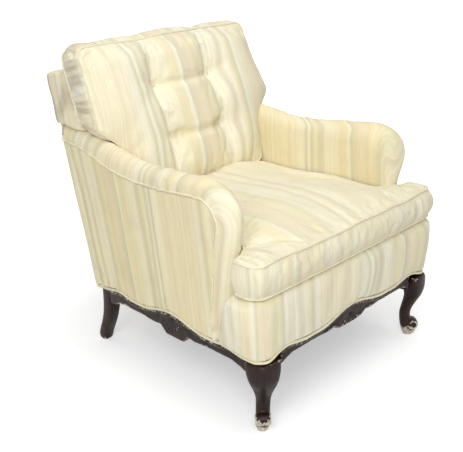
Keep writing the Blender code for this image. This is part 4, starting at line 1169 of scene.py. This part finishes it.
@dataclass
class BackCushion:
    """The loose back cushion, leaning on the padded back: four tufts, with creases between them."""

    lean: float = math.radians(16)
    foot: tuple[float, float, float] = (0.0, 0.2128, 0.4505)
    height: float = 0.400
    thick: float = 0.088
    tuft_x: float = 0.098
    tuft_rows: tuple[float, float] = (0.122, 0.264)

    def axes(self) -> np.ndarray:
        """The cushion's own across, up and forward directions, as rows."""
        c, s = math.cos(self.lean), math.sin(self.lean)
        return np.array(((1.0, 0.0, 0.0), (0.0, s, c), (0.0, -c, s)))

    def inward(self, points: np.ndarray) -> np.ndarray:
        """Rows of x, y, z in the cushion's own frame."""
        return (points - np.asarray(self.foot)) @ self.axes().T

    def outward(self, local: np.ndarray) -> np.ndarray:
        """Rows of the cushion's own frame as x, y, z."""
        return local @ self.axes() + np.asarray(self.foot)

    def tufts(self) -> list[tuple[float, float]]:
        """The place of each tuft across and up the face."""
        return [(side * self.tuft_x, row) for row in self.tuft_rows for side in (-1, 1)]

    def creased(self, local: np.ndarray) -> np.ndarray:
        """The depth of the creases that the tufts draw in the face.

        Args:
            local: Rows in the cushion's own frame.

        Returns:
            A depth for each row.
        """
        flat = np.column_stack((local[:, 0], local[:, 1], np.zeros(len(local))))
        low, high = self.tuft_rows
        depth = np.zeros(len(local))
        for side in (-1, 1):
            x = side * self.tuft_x
            out = side * 0.010
            above = ((x - out, high + 0.120, 0), (x - 0.3 * out, high + 0.055, 0), (x, high, 0))
            between = ((x, high, 0), (x + 0.9 * out, (low + high) / 2, 0), (x, low, 0))
            below = ((x, low, 0), (x + 0.4 * out, low - 0.060, 0), (x + out, 0.012, 0))
            sideways = ((x, high, 0), (x + 3.6 * out, high + 0.012, 0), (x + 7 * out, high + 0.020, 0))
            depth += 0.0080 * fold(flat, above, 0.011, 0.2)
            depth += 0.0095 * fold(flat, between, 0.010, 0.2)
            depth += 0.0085 * fold(flat, below, 0.012, 0.2)
            depth += 0.0020 * fold(flat, sideways, 0.013, 0.2)
        for row, sink in ((high, 0.0080), (low, 0.0080)):
            line = ((-self.tuft_x, row, 0), (0.0, row - 0.006, 0), (self.tuft_x, row, 0))
            depth += sink * fold(flat, line, 0.012, 0.08)
        for x, row in self.tufts():
            away = np.hypot(local[:, 0] - x, local[:, 1] - row)
            depth += 0.008 * np.exp(-((away / 0.011) ** 2))
        return depth

    def layout(self, corner: np.ndarray, facing: np.ndarray) -> np.ndarray:
        """The cloth map: stripes run up the face and across the boxing, and gather at the tufts."""
        local, centre = self.inward(corner), self.inward(facing[:, 3:])
        across = local[:, 0].copy()
        for x, row in self.tufts():
            away = np.hypot(local[:, 0] - x, local[:, 1] - row)
            across += 0.55 * (local[:, 0] - x) * np.exp(-((away / 0.040) ** 2))
        boxing = (centre[:, 2] < self.thick - 0.003) & (centre[:, 2] > 0.006)
        top = centre[:, 1] > self.height - 0.020
        strip = np.where(top, local[:, 0] + 0.05, local[:, 1] * 1.02 + 0.07)
        across = np.where(boxing, strip, across)
        along = np.where(boxing, local[:, 2], local[:, 1])
        return np.stack((across, along), axis=1)

    def slump(self, points: np.ndarray) -> np.ndarray:
        """How the old cushion gives way.

        Its foot sinks onto the seat, its wide part settles on the arms, and its top rounds over.

        Args:
            points: Rows of x, y, z.

        Returns:
            The rows, moved.
        """
        local = self.inward(points)
        across, up, forward = local.T
        share = np.clip(forward / self.thick, 0.0, 1.0)
        foot = 1 - step(up, 0.0, 0.13)
        shoulder = step(np.abs(across), 0.150, 0.225) * np.exp(-(((up - 0.190) / 0.080) ** 2))
        top = step(up, 0.335, self.height)
        wave = 0.0016 * np.sin(across * 17 + 1.1) + 0.0008 * np.sin(across * 39 + forward * 25)
        round_over = 0.007 * np.sin(math.pi * share) - 0.006 * step(share, 0.5, 1.0)
        puff = 0.004 * step(-across, 0.10, 0.26)
        spread = 0.015 * step(np.abs(across), 0.12, 0.225) * (1 - step(up, 0.15, 0.25))
        bulge = 0.032 * step(across, 0.15, 0.28) * np.exp(-(((up - 0.195) / 0.085) ** 2))
        local[:, 0] += np.sign(across) * spread + bulge
        local[:, 2] += 0.012 * step(across, 0.10, 0.20) * share * np.exp(-(((up - 0.145) / 0.090) ** 2))
        local[:, 1] += top * (wave + puff + round_over) - 0.022 * foot - 0.044 * share * shoulder
        return self.outward(local)

    def build(self) -> None:
        """Makes the cushion, its two welts and its four buttons."""
        block = subdivided(cad_copy("back_cushion", "back_cushion_cover", CUSHION_WALL_CREASE), 2)
        cushion = remeshed(block, 0.005, 2)
        points = points_of(cushion)
        local = self.inward(points)
        near = distance_to(points, ("back_welt_front", "back_welt_rear"), 0.02)
        held = np.where(near < 0.006, 1.0, np.where(local[:, 2] < 0.004, 1.0, 0.0))
        for x, row in self.tufts():
            away = np.hypot(local[:, 0] - x, local[:, 1] - row)
            held = np.where((away < 0.008) & (local[:, 2] > 0.05), 1.0, held)
        puffed(cushion, held, pressure=4.0, slack=0.04, cap=0.020)
        face = (local[:, 2] > self.thick - 0.002) & (np.abs(local[:, 0]) > 0.112) & (local[:, 1] < 0.330)
        eased(cushion, face & (held < 0.5), 40)
        eased(cushion, (local[:, 1] > self.height - 0.015) & (held < 0.5), 14)
        subdivided(cushion, 1)
        points, normals = points_of(cushion), normals_of(cushion)
        local = self.inward(points)
        face = step(local[:, 2], self.thick - 0.004, self.thick + 0.010)
        forward = np.clip((normals @ self.axes()[2]) * 2, 0, 1)
        rise = -self.creased(local) * np.where(local[:, 2] > self.thick - 0.010, 1.0, 0.0) * forward
        rise += face * 0.0012 * ripple(local, 0.050, 11, (1.0, 0.45, 0.3))
        boxing = np.exp(-(((local[:, 2] - 0.046) / 0.030) ** 2)) * (1 - face)
        pleat = ripple(local, 0.021, 14, (0.35, 1.0, 0.1))
        rise += boxing * 0.0017 * pleat * step(np.abs(local[:, 0]), 0.20, 0.26)
        points = self.slump(points + normals * rise[:, None])
        place_points(cushion, kept_clear(points, ARM_PADS, 0.002))
        lay_cloth(cushion, self.layout)
        # Grime and painted shade on the boxing at the left: the dark bands in step with the gathers are
        # painted shade between them, the rest is grime.
        band = np.exp(-(((local[:, 2] - 0.046) / 0.032) ** 4)) * step(-local[:, 0], 0.20, 0.25)
        rung = step(ripple(local, 0.019, 17, (0.05, 1.0, 0.03)), -0.30, 0.60)
        rung *= 0.75 + 0.35 * step(local[:, 1], 0.20, 0.26) * (1 - step(local[:, 1], 0.29, 0.35))
        set_attribute(cushion, "grime", band * (0.10 + 0.42 * rung) * step(local[:, 1], 0.12, 0.20))
        finish = StripedCover("back_cushion_cover_cloth", 0.294, 0.010, 0.10)
        stand_for(cushion, ["back_cushion"], finish.material())
        for node in ("back_welt_front", "back_welt_rear"):
            Welt(node, radius=0.0026).build(f"{node}_cord", [cushion], self.slump)
        for number in range(1, 5):
            button = subdivided(cad_copy(f"tuft_button_{number}", f"tuft_button_{number}_cover"), 2)
            spots = points_of(button)
            middle = spots.mean(axis=0)
            place_points(button, middle + (spots - middle) * 0.62 - self.axes()[2] * 0.004)
            lay_cloth(button, lambda corner, facing: corner[:, [0, 2]])
            stand_for(button, [f"tuft_button_{number}"], WELT_COVER.material())


@dataclass
class Arm:
    """One padded arm: its roll, inner face and front band, the panel on its outer side and its welt."""

    side: Side
    nose_z: float = 0.500
    relief: float = 0.0032
    fuller: float = 0.0085

    def beside_welt(self, points: np.ndarray) -> tuple[np.ndarray, np.ndarray]:
        """Where points lie beside the arm's welt.

        Args:
            points: Rows of x, y, z.

        Returns:
            How far along the welt past the start of the nose, and how far from the welt, for each row.
        """
        knots, _ = Welt(f"arm_welt_{self.side.word}").middle_line()
        line = smooth_line(knots if knots[0, 2] < knots[-1, 2] else knots[::-1], 0.006, False)
        gone = np.concatenate(([0.0], np.cumsum(np.linalg.norm(np.diff(line, axis=0), axis=1))))
        away = np.full(len(points), 1.0)
        for place in line:
            away = np.minimum(np.linalg.norm(points - place, axis=1), away)
        along, weights = np.zeros(len(points)), np.zeros(len(points))
        for place, length in zip(line, gone - gone[np.argmax(line[:, 2] > self.nose_z)]):
            weight = np.exp((away - np.linalg.norm(points - place, axis=1)) / 0.006)
            along += weight * length
            weights += weight
        return along / weights, away

    def roll_layout(self, corner: np.ndarray, facing: np.ndarray) -> np.ndarray:
        """The cloth map: stripes run up the front band, arc round the nose and cross the roll."""
        along, away = self.beside_welt(corner)
        out = np.abs(corner[:, 0]) - arm_face(corner[:, 1])
        round_nose = -np.hypot(away, np.clip(along, 0.0, None))
        inside = (1 - step(out, 0.004, 0.034)) * step(corner[:, 1], -0.34, -0.25)
        across = (1 - inside) * round_nose - inside * (corner[:, 1] + 0.36)
        return np.stack((across, corner[:, 2] + out), axis=1)

    def panel_layout(self, corner: np.ndarray, facing: np.ndarray) -> np.ndarray:
        """The cloth map: upright stripes that lean with the back towards the rear."""
        rearward = step(corner[:, 1], -0.20, 0.36)
        across = corner[:, 1] + rearward * 0.17 * (0.60 - corner[:, 2])
        return np.stack((across, corner[:, 2]), axis=1)

    def build(self) -> None:
        """Makes the padded arm, its outer panel and the welt between them."""
        word = self.side.word
        pad = subdivided(cad_copy(f"arm_pad_{word}", f"arm_cover_{word}", 50), 2)
        points, normals = points_of(pad), normals_of(pad)
        out = np.abs(points[:, 0]) - arm_face(points[:, 1])
        along, away = self.beside_welt(points)
        roll = step(along, 0.06, 0.14) * step(out, 0.000, 0.030)
        run = np.column_stack((along, away * 0.15, np.zeros(len(along))))
        rise = roll * 0.0019 * ripple(run, 0.030, 21 + self.side.value)
        rise += 0.0010 * ripple(points, 0.070, 31 + self.side.value, (1.0, 0.8, 0.5))
        pleats = np.exp(-((away / 0.030) ** 2)) * step(along, 0.0, 0.02) * (1 - step(along, 0.11, 0.14))
        rise -= 0.0030 * pleats * step(np.cos(along * 2 * math.pi / 0.026), 0.55, 1.0)
        nose = step(-points[:, 1], 0.16, 0.33) * step(points[:, 2], 0.44, 0.53)
        slim = (1 - step(out, 0.0, 0.045)) * step(-points[:, 1], 0.02, 0.30) * step(points[:, 2], 0.40, 0.46)
        rise = np.clip(rise, -self.relief, self.relief)
        rise += self.fuller * nose if self.side is Side.LEFT else -self.fuller * slim
        place_points(pad, points + normals * rise[:, None])
        lay_cloth(pad, self.roll_layout)
        # The last colour is a tint that paints warm shade into both arms' cloth.
        finish = StripedCover("arm_cloth", 0.452, 0.006, 0.10, 1.0, (1.0, 0.975, 0.91))
        stand_for(pad, [f"arm_pad_{word}"], finish.material())

        panel = remeshed(cad_copy(f"outside_arm_{word}", f"outside_arm_cover_{word}"), 0.0035, 1)
        points, normals = points_of(panel), normals_of(panel)
        rise = 0.0009 * ripple(points, 0.060, 71 + self.side.value, (0.2, 1.0, 0.16))
        place_points(panel, points + normals * rise[:, None])
        lay_cloth(panel, self.panel_layout)
        # The last colour is a tint that paints the warm shade of the outer panels.
        finish = StripedCover("outside_arm_cloth", 0.150, 0.006, 0.16, 1.0, (1.0, 0.965, 0.84))
        stand_for(panel, [f"outside_arm_{word}"], finish.material())

        Welt(f"arm_welt_{word}", radius=0.0028).build(f"arm_welt_{word}_cord", [pad, panel])
        Welt(f"side_base_welt_{word}", radius=0.0037).build(f"side_base_welt_{word}_cord")


@dataclass
class FrontBorder:
    """The padded band under the seat cushion, round both front corners, and the welt below it."""

    front_y: float = -0.392
    arm_gap: float = 0.030

    def carried_on(self, line: np.ndarray) -> np.ndarray:
        """The front welt's line, carried on at both ends to where the side welts start."""
        sides = np.vstack([Welt(f"side_base_welt_{side.word}").middle_line()[0] for side in Side])
        first, last = (sides[np.argmin(np.linalg.norm(sides - end, axis=1))] for end in (line[0], line[-1]))
        return np.vstack((first, line, last))

    def build(self) -> None:
        """Makes the band and its welt."""
        band = remeshed(subdivided(cad_copy("front_border", "front_border_cover", 40), 2), 0.005, 2)
        points, normals = points_of(band), normals_of(band)
        swell = step(points[:, 2], 0.205, 0.235) * (1 - step(points[:, 2], 0.325, 0.350))
        rise = swell * 0.0016 * ripple(points, 0.045, 41, (1.0, 1.0, 0.18))
        points += normals * rise[:, None]
        close = 1 - distance_to(points, ARM_PADS, self.arm_gap) / self.arm_gap
        points[:, 1] += 0.018 * close * step(np.abs(points[:, 0]), 0.285, 0.300)
        place_points(band, kept_clear(points, ARM_PADS, 0.001))
        subdivided(band, 1)
        lay_cloth(band, wrapped(self.front_y))
        finish = StripedCover("border_cloth", 0.083, 0.010, 0.08)
        stand_for(band, ["front_border"], finish.material())
        Welt("front_base_welt", radius=0.0037).build("front_base_welt_cord", moved=self.carried_on)


@dataclass
class PaddedBack:
    """The upholstered back behind the cushion, and the plain panel that closes it."""

    rake: float = 0.17
    top_z: float = 0.785
    top_y: float = 0.4092
    half_width: float = 0.285

    def layout(self, corner: np.ndarray, facing: np.ndarray) -> np.ndarray:
        """The cloth map: upright stripes on the front, and stripes along the rear edge on the sides."""
        behind = corner[:, 1] - (self.top_y - self.rake * (self.top_z - corner[:, 2]))
        sign = np.where(facing[:, 3] < 0, -1.0, 1.0)
        sideways = np.abs(facing[:, 0]) > 0.6
        across = np.where(sideways, sign * (self.half_width - behind), corner[:, 0])
        along = np.where(np.abs(facing[:, 2]) > 0.7, corner[:, 1], corner[:, 2])
        return np.stack((across, along), axis=1)

    def build(self) -> None:
        """Makes the padded back, its outer panel and the welt under it."""
        pad = subdivided(cad_copy("inside_back", "inside_back_cover", 50), 3)
        points, normals = points_of(pad), normals_of(pad)
        rise = 0.0012 * ripple(points, 0.060, 51)
        points[:, 2] += 0.005 * step(points[:, 2], 0.70, 0.78)
        place_points(pad, points + normals * rise[:, None])
        lay_cloth(pad, self.layout)
        smudge = step(ripple(points, 0.075, 57, (0.6, 1.3, 0.7)), -0.1, 0.9)
        smudge *= step(np.abs(points[:, 0]), 0.262, 0.282)
        set_attribute(pad, "grime", 0.42 * smudge)
        finish = StripedCover("inside_back_cloth", 0.06, 0.008, 0.30)
        stand_for(pad, ["inside_back"], finish.material())
        panel = remeshed(cad_copy("outside_back", "outside_back_cover"), 0.004, 2)
        lay_cloth(panel, self.layout)
        finish = StripedCover("outside_back_cloth", 0.02, 0.006, 0.12)
        stand_for(panel, ["outside_back"], finish.material())
        Welt("rear_base_welt", radius=0.0035).build("rear_base_welt_cord")


@dataclass
class Deck:
    """What lies under the seat cushion: the thin deck pad, and the dust cover below the springs."""

    sag: float = 0.005

    def build(self) -> None:
        """Makes the deck pad and the dust cover."""
        pad = remeshed(cad_copy("deck_pad", "deck_pad_cover"), 0.006, 3)
        lay_cloth(pad, lambda corner, facing: corner[:, :2])
        finish = StripedCover("deck_cloth", 0.0, 0.006, 0.2, 0.15)
        stand_for(pad, ["deck_pad"], finish.material())
        bm = merged_mesh("dust_cover")
        bmesh.ops.subdivide_edges(bm, edges=bm.edges, cuts=12, use_grid_fill=True)
        cloth = new_piece("dust_cover_cloth", bm)
        points = points_of(cloth)
        inside = step(0.26 - np.abs(points[:, 0]), 0.0, 0.12) * step(points[:, 1] + 0.35, 0.0, 0.12)
        inside *= step(0.24 - points[:, 1], 0.0, 0.12)
        points[:, 2] -= inside * (self.sag + 0.0012 * ripple(points, 0.12, 61))
        place_points(cloth, points)
        cloth.data.shade_smooth()
        finish = CoarseCloth("black_cambric_cloth", 0.0012, (0.012, 0.012, 0.013), (0.045, 0.045, 0.047))
        stand_for(cloth, ["dust_cover"], finish.material())


@dataclass
class ShowWood:
    """The carved rails and the legs: lacquered, chipped, and worn pale at the feet."""

    voxel: float = 0.0025
    leg_voxel: float = 0.0022
    lobe: float = 0.040
    shell_z: float = 0.196
    scroll_z: float = 0.182
    side_middle_y: float = -0.047
    flutes: tuple[int, ...] = (-62, -40, -20, 0, 20, 40, 62)
    chips: tuple[tuple[float, float, float, float], ...] = (
        (-0.302, 0.165, 0.160, 0.018), (-0.302, 0.190, 0.172, 0.014), (-0.300, 0.215, 0.176, 0.010),
        (-0.312, -0.060, 0.168, 0.007), (-0.316, -0.180, 0.165, 0.007), (-0.280, 0.300, 0.150, 0.007),
        (0.120, -0.382, 0.172, 0.010), (0.060, -0.382, 0.165, 0.008), (-0.150, -0.382, 0.178, 0.006),
        (0.300, -0.380, 0.180, 0.008), (0.318, -0.385, 0.100, 0.008),
    )

    def carve_rail(self, points: np.ndarray, along: np.ndarray, outer: np.ndarray) -> np.ndarray:
        """The depth of the carving on a rail's face: a shell of flutes between two scrolls.

        Args:
            points: Rows of x, y, z.
            along: How far each row is along the rail from its middle.
            outer: 1 on the rail's outer face and 0 elsewhere.

        Returns:
            A depth for each row.
        """
        flat = np.column_stack((along, np.zeros(len(along)), points[:, 2]))
        depth = np.zeros(len(points))
        for turn in self.flutes:
            angle = math.radians(turn)
            tip = (1.1 * self.lobe * math.sin(angle), 0.0, self.shell_z - self.lobe * math.cos(angle))
            depth += 0.0018 * fold(flat, ((0.0, 0.0, self.shell_z), tip), 0.0034, 0.15)
        for sign in (-1, 1):
            scroll = [
                (sign * (self.lobe * 1.15 + 0.020 * k), 0.0, self.scroll_z + 0.008 * math.sin(k * 1.1))
                for k in range(6)
            ]
            depth += 0.0020 * fold(flat, scroll, 0.0028, 0.2)
        return depth * outer

    def dress(self, piece: bpy.types.Object, nodes: Sequence[str]) -> None:
        """Marks a wooden piece's edges and chips, and gives it its finish."""
        mark_edges(piece)
        points = points_of(piece)
        worn = np.zeros(len(points))
        for x, y, z, size in self.chips:
            away = np.linalg.norm(points - np.array((x, y, z)), axis=1)
            worn = np.maximum(worn, np.exp(-((away / size) ** 2)))
        toe = (1 - step(points[:, 2], 0.020, 0.060)) * step(-points[:, 1], 0.2, 0.3)
        worn = np.maximum(worn, 0.62 * toe)
        rear_foot = (1 - step(points[:, 2], 0.0, 0.030)) * step(points[:, 1], 0.2, 0.3)
        worn = np.maximum(worn, 0.35 * rear_foot)
        set_attribute(piece, "chips", worn)
        stand_for(piece, nodes, OldLacquer().material())

    def rail(self, node: str, name: str, axis: int, middle: float, outwards: Sequence[int]) -> None:
        """Makes one carved rail.

        Args:
            node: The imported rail.
            name: The new piece's name.
            axis: The axis that the rail runs along, 0 for x and 1 for y.
            middle: The rail's middle on that axis.
            outwards: The direction that its carved face looks in.
        """
        rail = remeshed(cad_copy(node, name), self.voxel, 2)
        points, normals = points_of(rail), normals_of(rail)
        outer = step(normals @ np.asarray(outwards, float), 0.4, 0.8)
        points -= normals * self.carve_rail(points, points[:, axis] - middle, outer)[:, None]
        place_points(rail, points)
        self.dress(rail, [node])

    def build(self) -> None:
        """Makes the rails and legs."""
        self.rail("front_rail", "front_rail_carved", 0, 0.0, (0, -1, 0))
        for side in Side:
            node, name = f"side_rail_{side.word}", f"side_rail_carved_{side.word}"
            self.rail(node, name, 1, self.side_middle_y, (side.value, 0, 0))
            for leg in ("front_leg", "rear_leg"):
                piece = subdivided(cad_copy(f"{leg}_{side.word}", f"{leg}_turned_{side.word}", 60), 2)
                self.dress(remeshed(piece, self.leg_voxel, 3), [f"{leg}_{side.word}"])


@dataclass
class HiddenFrame:
    """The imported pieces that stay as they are, each with a better finish."""

    timber: tuple[str, ...] = (
        "rear_rail", "front_corner_block_left", "front_corner_block_right", "rear_corner_block_left",
        "rear_corner_block_right", "back_post_left", "back_post_right", "crest_rail", "lower_back_rail",
        "arm_post_left", "arm_post_right", "arm_rail_left", "arm_rail_right",
    )
    finishes: dict[str, bpy.types.Material] = field(default_factory=dict)

    def build(self) -> None:
        """Gives every kept node its material."""
        beech = PlainTimber().material()
        wire = SpringSteel().material()
        jute = CoarseCloth("jute_cloth", 0.0022, (0.20, 0.13, 0.06), (0.52, 0.39, 0.22)).material()
        self.finishes.update({name: beech for name in self.timber})
        self.finishes.update({f"seat_spring_{number}": wire for number in range(1, 10)})
        self.finishes.update({"seat_webbing": jute, "spring_burlap": jute})
        for name, finish in self.finishes.items():
            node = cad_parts[name]
            node.data.materials.clear()
            node.data.materials.append(finish)
        log.info("%d kept nodes finished", len(self.finishes))


@dataclass
class Studio:
    """A pale floor, soft light and the camera of the photograph."""

    focal_pixels: float = 792.90
    frame_width: int = 463
    place: tuple[float, float, float] = (-1.4135, -1.4768, 1.1019)
    yaw: float = -0.7538
    pitch: float = -0.3551
    roll: float = -0.0719
    sky: float = 0.34
    sensor: float = 36.0
    aim: tuple[float, float, float] = (0.0, 0.0, 0.4)
    floor_reach: float = 14.0

    def camera(self) -> None:
        """Sets up the camera."""
        level = math.cos(self.pitch)
        ahead = Vector((-math.sin(self.yaw) * level, math.cos(self.yaw) * level, math.sin(self.pitch)))
        right = Vector((math.cos(self.yaw), math.sin(self.yaw), 0.0))
        up = right.cross(ahead)
        across = math.cos(self.roll) * right + math.sin(self.roll) * up
        above = -math.sin(self.roll) * right + math.cos(self.roll) * up
        turn = Matrix((across, above, -ahead)).transposed().to_4x4()
        turn.translation = Vector(self.place)
        lens = bpy.data.cameras.new("camera")
        lens.sensor_width = self.sensor
        lens.lens = self.focal_pixels * self.sensor / self.frame_width
        eye = bpy.data.objects.new("camera", lens)
        eye.matrix_world = turn
        bpy.context.scene.collection.objects.link(eye)
        bpy.context.scene.camera = eye

    def lamp(self, name: str, place: Sequence[float], size: float, watts: float) -> None:
        """Adds a soft square lamp that faces the chair."""
        light = bpy.data.lights.new(name, "AREA")
        light.size = size
        light.energy = watts
        lamp = bpy.data.objects.new(name, light)
        turn = (Vector(self.aim) - Vector(place)).to_track_quat("-Z", "Y")
        lamp.matrix_world = Matrix.Translation(Vector(place)) @ turn.to_matrix().to_4x4()
        bpy.context.scene.collection.objects.link(lamp)

    def white_to_the_eye(self, wiring: Wiring) -> Socket:
        """1 for rays that show the background directly, in gloss or through glass."""
        path = wiring.node("ShaderNodeLightPath")
        seen = wiring.math("MAXIMUM", path.outputs["Is Camera Ray"], path.outputs["Is Glossy Ray"])
        return wiring.math("MAXIMUM", seen, path.outputs["Is Transmission Ray"])

    def world(self) -> None:
        """Sets up the sky: soft on the chair, and white to the eye."""
        world = bpy.data.worlds.new("studio")
        bpy.context.scene.world = world
        world.use_nodes = True
        wiring = Wiring(world.node_tree)
        background = world.node_tree.nodes["Background"]
        background.inputs["Color"].default_value = (1.0, 1.0, 1.0, 1.0)
        seen = self.white_to_the_eye(wiring)
        wiring.feed(background.inputs["Strength"], wiring.between(seen, 0.0, 1.0, self.sky, 1.0))

    def floor(self) -> None:
        """Lays the floor, which turns white to the eye away from the chair's shadow."""
        bm = bmesh.new()
        bmesh.ops.create_grid(bm, x_segments=8, y_segments=8, size=self.floor_reach)
        floor = new_piece("floor", bm)
        paint = bpy.data.materials.new("floor_paint")
        paint.use_nodes = True
        wiring = Wiring(paint.node_tree)
        shader = paint.node_tree.nodes["Principled BSDF"]
        place = wiring.node("ShaderNodeTexCoord").outputs["Object"]
        tone = wiring.between(wiring.noise(place, 1.5, 2.0), 0.3, 0.7, 0.80, 0.84)
        wiring.feed(shader.inputs["Base Color"], wiring.vector(tone, tone, tone))
        shader.inputs["Roughness"].default_value = 0.9
        shader.inputs["Emission Color"].default_value = (1.0, 1.0, 1.0, 1.0)
        seen = self.white_to_the_eye(wiring)
        away = wiring.node("ShaderNodeVectorMath", operation="LENGTH")
        wiring.feed(away.inputs[0], place)
        glow = wiring.between(away.outputs["Value"], 0.45, 1.5, 0.40, 1.0)
        wiring.feed(shader.inputs["Emission Strength"], wiring.math("MULTIPLY", seen, glow))
        floor.data.materials.append(paint)

    def build(self) -> None:
        """Sets up the camera, the lamps, the world and the floor."""
        self.camera()
        self.lamp("key_lamp", (-2.1, -1.8, 2.1), 2.0, 62.0)
        self.lamp("top_lamp", (0.2, -0.5, 3.3), 2.2, 37.0)
        self.world()
        self.floor()
        bpy.context.scene.view_settings.view_transform = "Standard"


def main() -> None:
    """Builds the chair's covers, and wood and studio."""
    logging.basicConfig(level=logging.INFO, format="%(message)s")
    Studio().build()
    SeatCushion().build()
    BackCushion().build()
    for side in Side:
        Arm(side).build()
    FrontBorder().build()
    PaddedBack().build()
    Deck().build()
    ShowWood().build()
    HiddenFrame().build()


if __name__ == "__main__":
    main()
